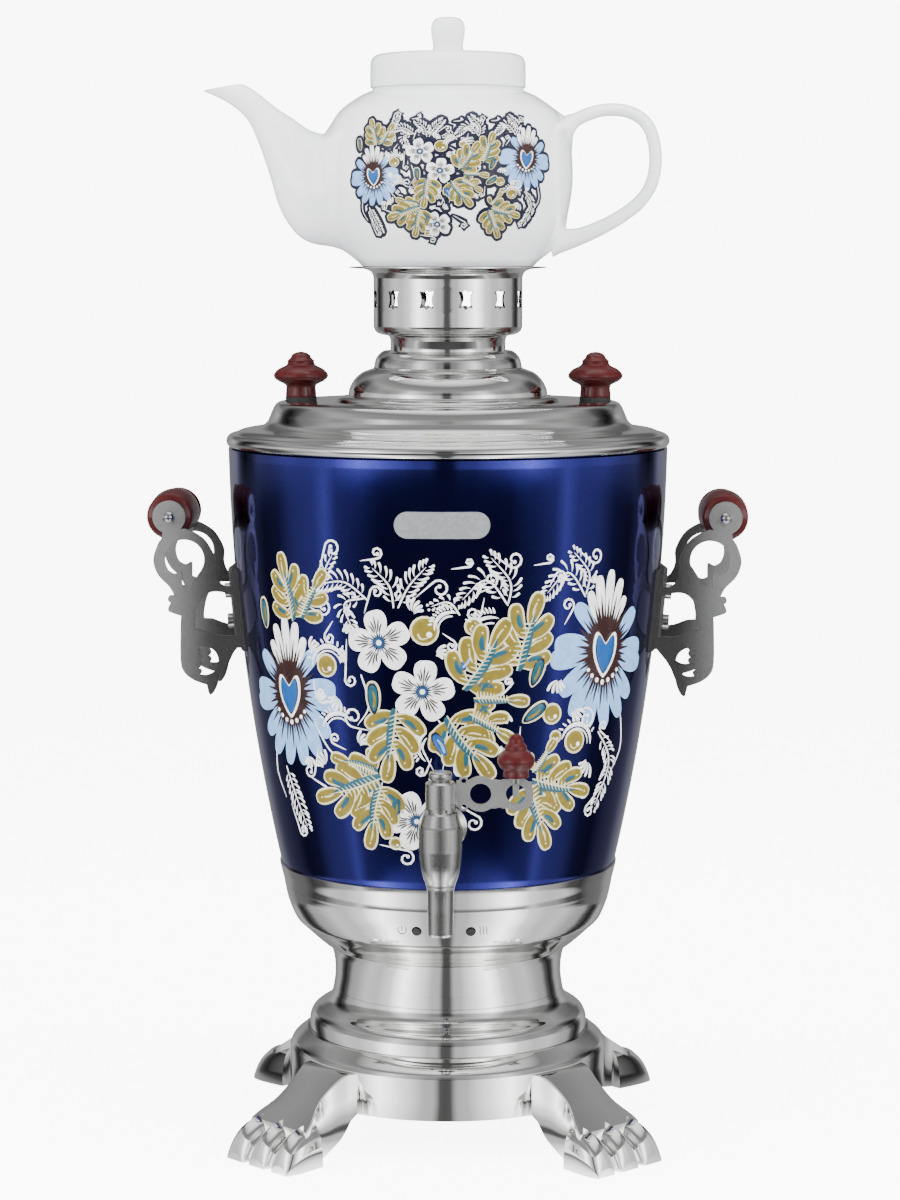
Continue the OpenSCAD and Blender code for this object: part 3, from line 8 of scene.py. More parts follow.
import bpy
import numpy as np
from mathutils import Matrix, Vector


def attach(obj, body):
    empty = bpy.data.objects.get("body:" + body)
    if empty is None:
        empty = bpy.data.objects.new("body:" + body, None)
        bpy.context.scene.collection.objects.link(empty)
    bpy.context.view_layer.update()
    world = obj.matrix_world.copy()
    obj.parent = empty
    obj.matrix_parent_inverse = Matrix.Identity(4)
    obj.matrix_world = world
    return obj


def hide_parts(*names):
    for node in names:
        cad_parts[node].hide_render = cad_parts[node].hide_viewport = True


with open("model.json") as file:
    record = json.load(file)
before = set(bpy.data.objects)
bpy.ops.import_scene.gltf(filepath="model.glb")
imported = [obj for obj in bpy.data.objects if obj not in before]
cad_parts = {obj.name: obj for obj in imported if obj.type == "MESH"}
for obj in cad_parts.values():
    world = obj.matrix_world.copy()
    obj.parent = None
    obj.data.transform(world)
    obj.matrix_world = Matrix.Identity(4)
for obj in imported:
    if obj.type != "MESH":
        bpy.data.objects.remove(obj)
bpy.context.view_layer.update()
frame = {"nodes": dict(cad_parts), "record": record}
MM = 0.001

# ---- Curves ----


def spline(points, n=8):
    """A Catmull-Rom curve: each stretch blends its four nearest points with cubic weights, n steps a stretch."""
    p = np.asarray(points, float)
    q = np.vstack([p[:1], p, p[-1:]])
    t = (np.arange(n) / n)[None, :, None]
    a, b, c, d = (q[k:len(q) - 3 + k][:, None] for k in range(4))
    s = 0.5 * (2 * b + (c - a) * t + (2 * a - 5 * b + 4 * c - d) * t**2 + (3 * b - a - 3 * c + d) * t**3)
    return np.vstack([s.reshape(-1, p.shape[1]), p[-1:]])


def arc(centre, r, a, b, n):
    """Points at radius r round a centre, from a to b degrees."""
    t = np.radians(np.linspace(a, b, n))
    return np.column_stack([centre[0] + r * np.cos(t), centre[1] + r * np.sin(t)])


def bow(a, b, sag, n=49):
    """A circular arc from a to b that stands sag to the right of its chord."""
    a, b = np.array(a, float), np.array(b, float)
    c = np.linalg.norm(b - a)
    r = (c * c / 4 + sag * sag) / (2 * sag)
    along = (b - a) / c
    side = np.array([along[1], -along[0]])
    half = math.asin(c / 2 / r)
    t = np.linspace(-half, half, n)[:, None]
    return (a + b) / 2 - side * (r - sag) + r * (np.cos(t) * side + np.sin(t) * along)


def line(*parts):
    """Joins points and curves into one line."""
    return np.vstack([np.atleast_2d(np.asarray(p, float)) for p in parts])


def off(r, z, *points, by=1.0):
    """Points told by how far out and how far up from (r, z) they lie; by scales the heights."""
    return [[r + a, z + b * by] for a, b in points]


def radius(profile, z):
    """Radius of a profile at a height."""
    return np.interp(z, profile[:, 1], profile[:, 0])


def heading(p):
    """Unit direction at each point, from its neighbours."""
    d = np.gradient(p, axis=0)
    return d / np.maximum(np.linalg.norm(d, axis=1, keepdims=True), 1e-9)


def inset(p, w):
    """The line moved w to the left of its way; both ends keep their height."""
    t = heading(p)
    q = p + w * np.column_stack([-t[:, 1], t[:, 0]])
    for e in (0, -1):
        q[e] = [p[e, 0] - w / max(t[e, 1], 0.3), p[e, 1]]
    return q


def eased(p, r, n=4, closed=True, turn=24):
    """Rounds every corner of a line that turns more than so many degrees: a short quadratic curve takes its place."""
    p = p[np.r_[True, np.linalg.norm(np.diff(p, axis=0), axis=1) > 1e-4]]
    if closed and np.linalg.norm(p[0] - p[-1]) < 1e-4:
        p = p[:-1]
    to, back = np.roll(p, -1, 0) - p, p - np.roll(p, 1, 0)
    lt, lb = np.linalg.norm(to, axis=1), np.linalg.norm(back, axis=1)
    to, back = to / lt[:, None], back / lb[:, None]
    sharp = np.einsum("ij,ij->i", to, back) < math.cos(math.radians(turn))
    if not closed:
        sharp[[0, -1]] = False
    d = (np.minimum(r, 0.45 * np.minimum(lt, lb)) * sharp)[:, None, None]
    t = np.linspace(0, 1, n)[None, :, None]
    q = p[:, None] + d * (t**2 * to[:, None] - (1 - t)**2 * back[:, None])
    q = q.reshape(-1, 2)
    return q[np.r_[True, np.linalg.norm(np.diff(q, axis=0), axis=1) > 1e-5]]


# ---- Surfaces ----


def skin(grid, rows=False):
    """Quads over a grid of points whose rows each close; with rows True the last row joins the first."""
    m, n = grid.shape[:2]
    i, j = np.meshgrid(np.arange(m if rows else m - 1), np.arange(n), indexing="ij")
    i2, j2 = (i + 1) % m, (j + 1) % n
    quads = np.stack([i * n + j, i * n + j2, i2 * n + j2, i2 * n + j], -1).reshape(-1, 4)
    return grid.reshape(-1, 3), quads


def outward(part):
    """Turns the quads round if the volume they enclose comes out negative."""
    p, q = part
    a, b, c, d = (p[q[:, k]] - p.mean(0) for k in range(4))
    volume = np.einsum("ij,ij->", a, np.cross(b, c)) + np.einsum("ij,ij->", a, np.cross(c, d))
    return part if volume > 0 else (p, q[:, ::-1])


def laid(part, to, turn=np.eye(3)):
    """The part turned by a 3 by 3 matrix and moved to a place."""
    return part[0] @ turn.T + np.asarray(to, float), part[1]


def lathe(profile, segments, start=0.0):
    """Points of a surface of revolution: the profile's (radius, height) carried round the Z axis."""
    t = start + np.arange(segments) * 2 * np.pi / segments
    r, z = profile[:, :1], profile[:, 1:]
    return np.stack([r * np.cos(t), r * np.sin(t), z + 0 * t], -1)


def turned(profile, segments, closed=True, at=(0, 0, 0)):
    """A turned part, its axis upright through a point."""
    return laid(outward(skin(lathe(profile, segments), rows=closed)), at)


def capped(rings):
    """A loft through rings of points, (stations, around, 3), closed by a fan at each end."""
    first, last = (np.repeat(rings[e].mean(0)[None, None], rings.shape[1], 1) for e in (0, -1))
    return outward(skin(np.concatenate([first, rings, last])))


def spun(angle):
    """The matrix of a turn about Z, in degrees."""
    c, s = math.cos(math.radians(angle)), math.sin(math.radians(angle))
    return np.array([[c, -s, 0], [s, c, 0], [0, 0, 1]])


LYING = np.array([[1, 0, 0], [0, 0, -1], [0, 1, 0]])  # turns a part's Z axis to -Y


def merged(parts):
    """One part from several."""
    counts = np.cumsum([0] + [len(p) for p, _ in parts])
    return np.vstack([p for p, _ in parts]), np.vstack([q + c for (_, q), c in zip(parts, counts)])


def placed(name, data):
    """An object in the scene for a mesh, lamp or camera."""
    obj = bpy.data.objects.new(name, data)
    bpy.context.scene.collection.objects.link(obj)
    return obj


def piece(name, parts, body, slot, cad=None, crease=32, look=None):
    """One mesh object from a part or a list of them: points of a part that coincide are merged.

    Quads that lose a corner become triangles. Without a look of its own it has its slot's."""
    parts = parts if isinstance(parts, list) else [parts]
    points, quads = merged(parts)
    part_of = np.repeat(np.arange(len(parts)), [len(p) for p, _ in parts])
    key = np.column_stack([np.round(points * 2e4).astype(np.int64), part_of])
    _, keep, back = np.unique(key, axis=0, return_index=True, return_inverse=True)
    points, quads = points[keep], back.reshape(-1)[quads]
    fresh = quads != np.roll(quads, 1, axis=1)
    fresh[:, 2] &= quads[:, 2] != quads[:, 0]
    fresh[:, 3] &= quads[:, 3] != quads[:, 1]
    size = fresh.sum(1)
    quads, fresh, size = quads[size > 2], fresh[size > 2], size[size > 2]
    mesh = bpy.data.meshes.new(name)
    mesh.vertices.add(len(points))
    mesh.vertices.foreach_set("co", (points * MM).astype(np.float32).ravel())
    mesh.loops.add(int(size.sum()))
    mesh.loops.foreach_set("vertex_index", quads[fresh].astype(np.int32))
    mesh.polygons.add(len(size))
    mesh.polygons.foreach_set("loop_start", np.r_[0, np.cumsum(size)[:-1]].astype(np.int32))
    mesh.polygons.foreach_set("use_smooth", np.ones(len(size), bool))
    mesh.update(calc_edges=True)
    mesh.validate()
    mesh.set_sharp_from_angle(angle=math.radians(crease))
    mesh.materials.append(look or LOOKS[slot])
    obj = placed(name, mesh)
    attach(obj, body)
    if cad:
        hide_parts(cad)


# ---- Finishes ----


class Nodes:
    """Adds nodes to a tree and joins them."""

    def __init__(self, tree):
        self.tree = tree

    def feed(self, socket, source):
        """Joins an output to an input, or sets the input to a constant."""
        if isinstance(source, bpy.types.NodeSocket):
            self.tree.links.new(source, socket)
        else:
            socket.default_value = source

    def add(self, kind, *sources, out=0, **values):
        """Adds a node and gives one output; sources feed its inputs in order, in_ values the inputs of those names."""
        node = self.tree.nodes.new("ShaderNode" + kind)
        for k, v in values.items():
            if not k.startswith("in_"):
                setattr(node, k, v)
        named = ((k[3:].replace("_", " "), v) for k, v in values.items() if k.startswith("in_"))
        for k, v in [*enumerate(sources), *named]:
            self.feed(node.inputs[k], v)
        return node.outputs[out] if node.outputs else None

    def maths(self, operation, *sources):
        return self.add("Math", *sources, operation=operation)

    def mix(self, factor, a, b, **values):
        """Mixes two colours."""
        return self.add("Mix", out="Result", data_type="RGBA", in_Factor=factor, in_A=a, in_B=b, **values)

    def ramp(self, source, stops):
        """Maps a grey value onto greys or colours."""
        out = self.add("ValToRGB", source)
        e = out.node.color_ramp.elements
        for k, (pos, colour) in enumerate(stops):
            if k > 1:
                e.new(pos)
            e[k].position = pos
            e[k].color = (*colour, 1) if isinstance(colour, tuple) else (colour, colour, colour, 1)
        return out

    def spread(self, source, low, high, to_low, to_high, **values):
        """Maps a grey value onto a range."""
        return self.add("MapRange", source, low, high, to_low, to_high, **values)


class Finish(Nodes):
    """A principled material whose patterns lie on object coordinates."""

    def __init__(self, name, colour, metal=0.0, rough=0.4, coat=0.0, coat_rough=0.03, spec=0.5):
        self.material = bpy.data.materials.new(name)
        self.material.use_nodes = True
        super().__init__(self.material.node_tree)
        self.place = self.add("TexCoord", out="Object")
        self.set(Base_Color=(*colour, 1), Metallic=metal, Roughness=rough, Coat_Weight=coat, Coat_Roughness=coat_rough,
                 IOR=1.5, Specular_IOR_Level=spec)

    def set(self, **values):
        """Feeds the shader's inputs of those names."""
        for k, v in values.items():
            self.feed(self.tree.nodes["Principled BSDF"].inputs[k.replace("_", " ")], v)

    def grain(self, stretch, scale, detail, rough=0.6):
        """Noise, stretched along the axes by three numbers or evenly by one."""
        fit = self.add("Mapping", self.place, in_Scale=stretch if isinstance(stretch, tuple) else (stretch,) * 3)
        return self.add("TexNoise", fit, in_Scale=scale, in_Detail=detail, in_Roughness=rough)

    def relief(self, source, strength, depth):
        self.set(Normal=self.add("Bump", in_Strength=strength, in_Distance=depth, in_Height=source))


def polished_steel():
    """Mirror steel: its roughness wanders a little, and it has faint level rub marks."""
    f = Finish("polished_steel", (0.86, 0.86, 0.85), metal=1.0)
    f.set(Roughness=f.spread(f.grain(1, 22, 4), 0.3, 0.7, 0.03, 0.07))
    f.relief(f.grain((30, 30, 900), 4, 3), 0.012, 0.00002)
    return f


def brushed_steel(name, stretch, colour=(0.60, 0.60, 0.59), low=0.24, high=0.38, strength=0.12, metal=1.0):
    """Fine lines that change the tone, the roughness and the relief."""
    f = Finish(name, colour, metal=metal)
    lines = f.grain(stretch, 9, 8, 0.7)
    f.set(Roughness=f.spread(lines, 0.25, 0.75, low, high),
          Base_Color=f.ramp(lines, [(0.3, tuple(c * 0.86 for c in colour)), (0.7, colour)]))
    f.relief(lines, strength, 0.00004)
    return f


def bracket_steel_painted_shade():
    """Brushed plate with painted shade: its colour darkens towards the end by the tank (small distance from the axis).
    """
    f = brushed_steel("bracket_steel_painted_shade", (900, 900, 60), (0.5, 0.5, 0.5), 0.24, 0.36, 0.10, 0.85)
    brushed = f.tree.nodes["Principled BSDF"].inputs["Base Color"].links[0].from_socket
    far = f.maths("ABSOLUTE", f.add("SeparateXYZ", f.place))
    # painted shade: the plate's colour is multiplied down to 0.22 close to the axis, where the plate meets the tank
    painted_shade = f.spread(far, 0.108, 0.134, 0.22, 1.0, interpolation_type="SMOOTHSTEP")
    f.set(Base_Color=f.mix(1, brushed, painted_shade, blend_type="MULTIPLY"))
    return f


def blue_enamel():
    """Metallic blue under clear lacquer: fine flakes change the tone, and the lacquer has a faint orange peel.

    Faces that look towards the axis are the tank's inside and stay bare steel."""
    f = Finish("blue_enamel", (0.01, 0.016, 0.13), metal=1.0, rough=0.08, coat=0.3)
    flakes = f.add("TexVoronoi", in_Vector=f.place, in_Scale=2600.0)
    tone = f.ramp(flakes, [(0.0, (0.040, 0.044, 0.34)), (0.8, (0.021, 0.021, 0.20))])
    out = f.add("VectorMath", f.add("NewGeometry", out="Normal"), f.place, out="Value", operation="DOT_PRODUCT")
    f.set(Base_Color=f.mix(f.spread(out, -0.01, 0.01, 0.0, 1.0), (0.66, 0.66, 0.65, 1), tone),
          Roughness=f.spread(f.grain(1, 30, 3), 0.3, 0.7, 0.07, 0.11))
    f.relief(f.grain(1, 420, 1), 0.02, 0.00005)
    return f


def turned_wood():
    """Red-brown lacquered wood: thin rings along the grain under a clear coat."""
    f = Finish("turned_wood", (0.12, 0.012, 0.01), coat=0.5, coat_rough=0.05, spec=0.25)
    ring, fibre = f.grain((900, 260, 260), 1.0, 5, 0.65), f.grain((2400, 240, 240), 1.6, 4, 0.7)
    f.set(Base_Color=f.ramp(f.maths("MULTIPLY", ring, fibre), [
        (0.12, (0.034, 0.0018, 0.0022)), (0.3, (0.046, 0.0026, 0.0028)), (0.5, (0.066, 0.0048, 0.0045))]))
    f.relief(fibre, 0.02, 0.00003)
    return f


def porcelain():
    """White glaze with a faint cool cloudiness and a slow wave in the glaze."""
    f = Finish("porcelain", (0.87, 0.88, 0.9), rough=0.16, coat=0.7)
    cloud = f.grain(1, 24, 3)
    f.set(Base_Color=f.ramp(cloud, [(0.3, (0.83, 0.85, 0.88)), (0.7, (0.90, 0.905, 0.91))]),
          Subsurface_Weight=0.08, Subsurface_Radius=(0.004, 0.004, 0.004))
    f.relief(cloud, 0.03, 0.0004)
    return f


def speckled(name, colour, rough, metal, scale, strength, coat=0.0, depth=0.00006):
    """Moulded or sprayed stuff: fine grain in the relief and a slight change of tone."""
    f = Finish(name, colour, metal=metal, rough=rough, coat=coat)
    fine = f.grain(1, scale, 2)
    f.set(Base_Color=f.ramp(fine, [(0.35, tuple(c * 0.8 for c in colour)), (0.65, colour)]))
    f.relief(fine, strength, depth)
    return f


LOOKS = {
    "polished_steel": polished_steel(),
    "brushed_steel": brushed_steel("brushed_steel", (60, 900, 900)),
    "heater_steel": brushed_steel("heater_steel", 300, (0.52, 0.52, 0.50), 0.35, 0.5),
    "fastener_steel": speckled("fastener_steel", (0.6, 0.6, 0.6), 0.22, 1.0, 500.0, 0.03),
    "blue_enamel": blue_enamel(), "turned_wood": turned_wood(), "porcelain": porcelain(),
    "rubber": speckled("rubber", (0.018, 0.018, 0.018), 0.62, 0.0, 1200.0, 0.2),
    "black_plastic": speckled("black_plastic", (0.022, 0.022, 0.024), 0.45, 0.0, 1500.0, 0.2),
    "ceramic": speckled("ceramic", (0.74, 0.71, 0.64), 0.7, 0.0, 900.0, 0.2),
    "brass": speckled("brass", (0.72, 0.50, 0.18), 0.25, 1.0, 600.0, 0.04),
    "lamp_lens": speckled("lamp_lens", (0.003, 0.003, 0.0035), 0.10, 0.0, 400.0, 0.02, 0.4)}
TAP = brushed_steel("tap_steel", (220, 220, 700), (0.66, 0.66, 0.65), 0.20, 0.30, 0.05)
BRACKET = bracket_steel_painted_shade()
OWN_LOOKS = {
    "handle_bracket_left": BRACKET, "handle_bracket_right": BRACKET,
    "tap_lever": brushed_steel("plate_steel", (900, 900, 60), (0.46, 0.46, 0.46), 0.24, 0.36, 0.10, 0.8),
    "badge_plate": speckled("badge_silver", (0.36, 0.37, 0.38), 0.42, 0.55, 500.0, 0.03),
    "tap_body": TAP, "tap_spout": TAP, "tap_plug": TAP, "tap_cap": TAP}
# From here on both tables hold the materials themselves
LOOKS, OWN_LOOKS = ({k: f.material for k, f in looks.items()} for looks in (LOOKS, OWN_LOOKS))
for sub in frame["record"]["subparts"]:
    node = frame["nodes"][sub["node"]]
    node.data.materials.clear()
    node.data.materials.append(OWN_LOOKS.get(sub["node"], LOOKS[sub["material_slot"]]))

# ---- Heights and radii of the body ----

PLINTH_R, PLINTH_Z, ARCH_Z, SHOULDER_Z, CAST_WALL = 76.5, 40.0, 20.0, 47.5, 2.5
TOE_REACH, LEG_W, TOE_W, SOLE_Z = 122.0, 27.0, 15.0, 0.8
NECK_R, SKIRT_R, SHEET = 54.5, 67.0, 1.2
NECK_Z, BOWL_Z, BAND_Z, TANK_Z, RIM_Z = 67.8, 88.5, 118.8, 129.6, 328.4
FOOT_R, TOP_R = 80.3, 104.4
BAND_R = FOOT_R + 0.9
BOWL_TOP_R = BAND_R - 2.4
BOWL_FOOT_R = NECK_R + 2.6
DECK_Z, CROWN_Z, CROWN_TOP = 350.2, 374.2, 413.7

# ---- Feet and plinth ----


def plinth():
    """The rounded drum: its outer line up to the deck, and the same line inside by the casting's wall."""
    low, core = SHOULDER_Z - CAST_WALL, PLINTH_R - CAST_WALL
    out = line([PLINTH_R - 0.3, ARCH_Z], [PLINTH_R, PLINTH_Z - 1], spline(off(
        PLINTH_R, PLINTH_Z, (-0.2, 0), (-1.2, 0.27), (-3, 0.5), (-6, 0.8), (-8.4, 1), by=SHOULDER_Z - PLINTH_Z)),
        [NECK_R + 2, SHOULDER_Z])
    inner = line([core - 0.3, ARCH_Z], [core, PLINTH_Z - 2.5], spline(
        [[core - 0.6, PLINTH_Z - 0.8], [core - 3, low - 1.6], [core - 7.4, low]]), [NECK_R + 2, low])
    return turned(eased(line(out, inner[::-1]), 0.4), 240)


ANKLE = TOE_REACH - 13.5
LEG_ROOT = PLINTH_R - CAST_WALL + 0.3


def leg():
    """A block whose top, sole and half width are curves of the distance from the axis; its long edges are eased."""
    top = line(spline([[LEG_ROOT, PLINTH_Z - 0.4], [LEG_ROOT + 6, PLINTH_Z - 1],
                       [(LEG_ROOT + ANKLE) / 2, PLINTH_Z * 0.79], [ANKLE - 8, PLINTH_Z * 0.6],
                       [ANKLE, PLINTH_Z * 0.45]]), [ANKLE + 1, SOLE_Z + 2])
    sole = line([LEG_ROOT, ARCH_Z], spline([[LEG_ROOT + 3, ARCH_Z - 2.5], *off(ANKLE, SOLE_Z, (-26, 8.5), (-18, 2.2),
                (-13, 0))]), [ANKLE + 1, SOLE_Z])
    plan = spline([*off(LEG_ROOT, 0, (-4, 0.66), (4, 0.58), (14, 0.5), by=LEG_W), [ANKLE - 12, LEG_W * 0.52],
                   *off(ANKLE, 0, (-3, 1.26), (4, 1.34), by=TOE_W)])
    x = np.linspace(LEG_ROOT, ANKLE + 1, 60)
    up, low, w = (np.interp(x, p[:, 0], p[:, 1])[:, None] for p in (top, sole, plan))
    low = np.minimum(low, up - 0.5)
    t = np.radians(np.linspace(0, 90, 5))
    edge = 0.7
    a, b = (np.cos(t) - 1) * edge, (np.sin(t) - 1) * edge
    y = np.hstack([w + a, -w - a[::-1], -w, w])
    z = np.hstack([up + b, up + b[::-1], low, low])
    return capped(np.stack([np.repeat(x[:, None], y.shape[1], 1), y, z], -1))


def toe(lean):
    """A ridged toe: at each station along it, a rounded arch whose height falls as the root of 1.04 - s^2.6."""
    s = np.sin(np.linspace(0, np.pi / 2, 26))
    x = ANKLE - 9 + (TOE_REACH - ANKLE + 9) * s
    top = PLINTH_Z * 0.46 * np.sqrt(1.04 - s**2.6)
    w = TOE_W / 2 * (0.96 + 0.1 * s - 0.34 * s**4)
    y = lean * TOE_W * (0.93 + 0.12 * s)
    t = np.radians(np.linspace(0, 180, 25))
    across = np.sign(np.cos(t)) * np.abs(np.cos(t))**0.8
    ridge = 0.05 * np.exp(-(across / 0.16)**2)
    return capped(np.stack([np.repeat(x[:, None], 25, 1), y[:, None] + w[:, None] * across,
                            SOLE_Z + top[:, None] * (np.sin(t)**0.85 + ridge)], -1))


def feet():
    """The drum, four legs with three toes each, and four posts under the deck."""
    paws = [laid(p, (0, 0, 0), spun(45 + 90 * k)) for k in range(4) for p in (leg(), toe(-1), toe(0), toe(1))]
    post, post_at = line([0, 23.5], [4.5, 23.5], [4.5, 46], [0, 46]), [PLINTH_R - CAST_WALL - 10.5, 0, 0]
    return [plinth(), *paws] + [turned(post, 32, False, spun(90 * k) @ post_at) for k in range(4)]


piece("plinth_and_paws", feet(), "samovar", "polished_steel", "foot_base", 38)

# ---- Pedestal, bowl, band and tank ----


def pressed(outer, wall, r=0.3):
    """A sheet turned round the axis: the outer line up and its inset down."""
    return turned(eased(line(outer, inset(outer, wall)[::-1]), r), 240)


h = NECK_Z - SHOULDER_Z
skirt_line = line([SKIRT_R, SHOULDER_Z], [SKIRT_R, SHOULDER_Z + 0.22 * h], spline(
    off(SKIRT_R, SHOULDER_Z, (-0.3, 0.3), (-1.4, 0.42), (-3.2, 0.5), by=h)
    + off(NECK_R, SHOULDER_Z, (6.6, 0.58), (3.4, 0.7), (1.6, 0.85), by=h) + [[NECK_R + 0.9, NECK_Z]]))
piece("stepped_skirt", pressed(skirt_line, SHEET), "samovar", "polished_steel", "pedestal_skirt")

neck_line = spline([*off(NECK_R, NECK_Z, (0.9, 0), (0.1, 0.3), (0.3, 0.6), (1.3, 0.85), by=BOWL_Z - NECK_Z),
                    [BOWL_FOOT_R, BOWL_Z]])
piece("waisted_neck", pressed(neck_line, SHEET), "samovar", "polished_steel", "pedestal_neck")

h, w = BAND_Z - BOWL_Z, BOWL_TOP_R - BOWL_FOOT_R
bowl_line = spline([[BOWL_FOOT_R + a * w, BOWL_Z + b * h] for a, b in (
    (0, 0), (0.22, 0.11), (0.57, 0.34), (0.76, 0.48), (0.92, 0.75))] + [[BOWL_TOP_R, BAND_Z]])

h = TANK_Z - BAND_Z
band_line = spline([[BOWL_TOP_R, BAND_Z], [BOWL_TOP_R + 0.6, BAND_Z + 0.3 * h], [BAND_R - 0.6, BAND_Z + 0.75 * h],
                    [BAND_R, TANK_Z]])
piece("lipped_band", pressed(band_line, SHEET + 0.9, 0.25), "samovar", "polished_steel", "lower_band")

tank_line = bow([FOOT_R, TANK_Z], [TOP_R, RIM_Z], 5.1)
piece("tank_shell", pressed(tank_line, SHEET, 0.2), "samovar", "blue_enamel", "tank_wall")

# ---- Lid ----

ROLL_R, EDGE_R = 3.4, TOP_R + 1
LOW_R, HIGH_R, DECK_R, CROWN_NECK_R = 47.3, 35.2, 79.0, 27.3
LOW_Z, HIGH_Z = DECK_Z + 2.9, DECK_Z + 15.4
COLLAR_R = CROWN_NECK_R - SHEET - 0.4
SKIRT_GAP_R = TOP_R - SHEET - 3 - 0.4
roll_c = (EDGE_R - ROLL_R, RIM_Z + ROLL_R)
h = DECK_Z - RIM_Z
lid_line = line(
    spline([[roll_c[0] - 0.6, roll_c[1] + ROLL_R - 0.1], [EDGE_R - 7.2, RIM_Z + 8.4], [DECK_R + 11.4, RIM_Z + 9.6],
            *off(DECK_R, RIM_Z, (7.6, 0.53), (5.8, 0.66), (4.6, 0.8), by=h), *off(DECK_R, DECK_Z, (2.6, -1), (0, 0))]),
    spline(off(LOW_R, DECK_Z, (6.6, 0), (5.6, 1.3), (3.4, 2.3), (0.8, 2.6))),
    spline(off(LOW_R, LOW_Z, (0, 0), (-0.4, 3), (-2.6, 7.2), (-6, 10.4)) + off(HIGH_R, HIGH_Z, (2.6, -0.6), (0.6, 0))),
    spline([*off(HIGH_R, HIGH_Z, (0, 0.6), (-0.9, 4.6)), *off(HIGH_R, CROWN_Z, (-2.8, -1.4), (-4.6, -0.2)),
            [CROWN_NECK_R + 2, CROWN_Z]]),
    off(COLLAR_R, CROWN_Z, (0, 0), (0, 5)))
under = inset(lid_line, SHEET)
under[-2:] = off(COLLAR_R - SHEET, CROWN_Z, (0, -SHEET), (0, 5))
lid_profile = line(
    [[SKIRT_GAP_R - SHEET, RIM_Z - 9], [SKIRT_GAP_R, RIM_Z - 9], [SKIRT_GAP_R, RIM_Z], [roll_c[0], RIM_Z]],
    arc(roll_c, ROLL_R, -90, 96, 30), lid_line, under[::-1], [SKIRT_GAP_R - SHEET, RIM_Z + ROLL_R + 1.6])
piece("domed_lid", turned(eased(lid_profile, 0.3), 240), "lid", "polished_steel", "lid_shell")


def knob_line(h, r, stem):
    """A turned knob: stem, wide waist ring and a tiered top."""
    return line([[0, 0], [stem, 0], [stem, 0.08 * h]],
                spline([[stem * 0.96, 0.2 * h], [stem * 1.03, 0.27 * h], [r * 0.86, 0.36 * h], [r, 0.47 * h],
                        [r * 0.86, 0.6 * h], [r * 0.55, 0.7 * h], [r * 0.49, 0.76 * h], [r * 0.5, 0.8 * h]]),
                spline([[r * 0.42, 0.84 * h], [r * 0.36, 0.885 * h], [r * 0.34, 0.92 * h], [r * 0.2, 0.975 * h],
                        [0, h]]))


SIDES = ((-1, "left"), (1, "right"))
KNOB_X = 70
for side, name in SIDES:
    knob = turned(eased(knob_line(21.6, 13.0, 7.3), 0.3, closed=False), 96, False, (side * KNOB_X, 0, DECK_Z + 1.8))
    piece("lid_knob_" + name + "_turned", knob, "lid", "turned_wood", "lid_knob_" + name, 40)

# ---- Crown ----

CUP_R, PLATE_R, CROWN_H = 35.3, 46.6, 39.5
CUP_FLOOR = CROWN_Z + 0.195 * CROWN_H
PIERCING_Z = CROWN_TOP - 15.2
half_hide = np.array([[0, 1], [0.28, 0.76], [1, 0.82], [0.74, 0.36],
                      [0.68, 0], [0.74, -0.36], [1, -0.82], [0.28, -0.76]])
hide = np.vstack([half_hide, -half_hide]) * [3.6, 4.8]
cup_out = line([CROWN_NECK_R, CROWN_Z], spline(
    [[CROWN_NECK_R, CROWN_Z + 0.12 * CROWN_H], [CROWN_NECK_R + 1, CUP_FLOOR - 0.9],
     *off(CUP_R, CUP_FLOOR, (-3.4, -0.1), (-1, 1.2), (-0.1, 3))]), off(CUP_R, CUP_FLOOR, (0, 3.5), (0, 4.2)),
    [CUP_R, (CUP_FLOOR + CROWN_TOP) / 2], off(CUP_R, CROWN_TOP, (0, -6), (0, -5.4)), spline(
    [*off(CUP_R, CROWN_TOP, (0.1, -4.8), (1.1, -2.6), (4.2, -1.2)), [PLATE_R - 1, CROWN_TOP - 0.7]]))
cup_in = line([CROWN_NECK_R - SHEET, CROWN_Z], spline(
    [[CROWN_NECK_R - SHEET, CROWN_Z + 0.14 * CROWN_H], [CROWN_NECK_R + 0.4, CUP_FLOOR + SHEET - 0.7],
     [CUP_R - 5, CUP_FLOOR + SHEET], *off(CUP_R - SHEET, CUP_FLOOR, (-1.2, 2.6), (-0.1, 5))]), spline(
    [[CUP_R - SHEET, (CUP_FLOOR + CROWN_TOP) / 2], [CUP_R + 0.4 - SHEET, CROWN_TOP - 4],
     [CUP_R + 0.3, CROWN_TOP - 0.8]]))


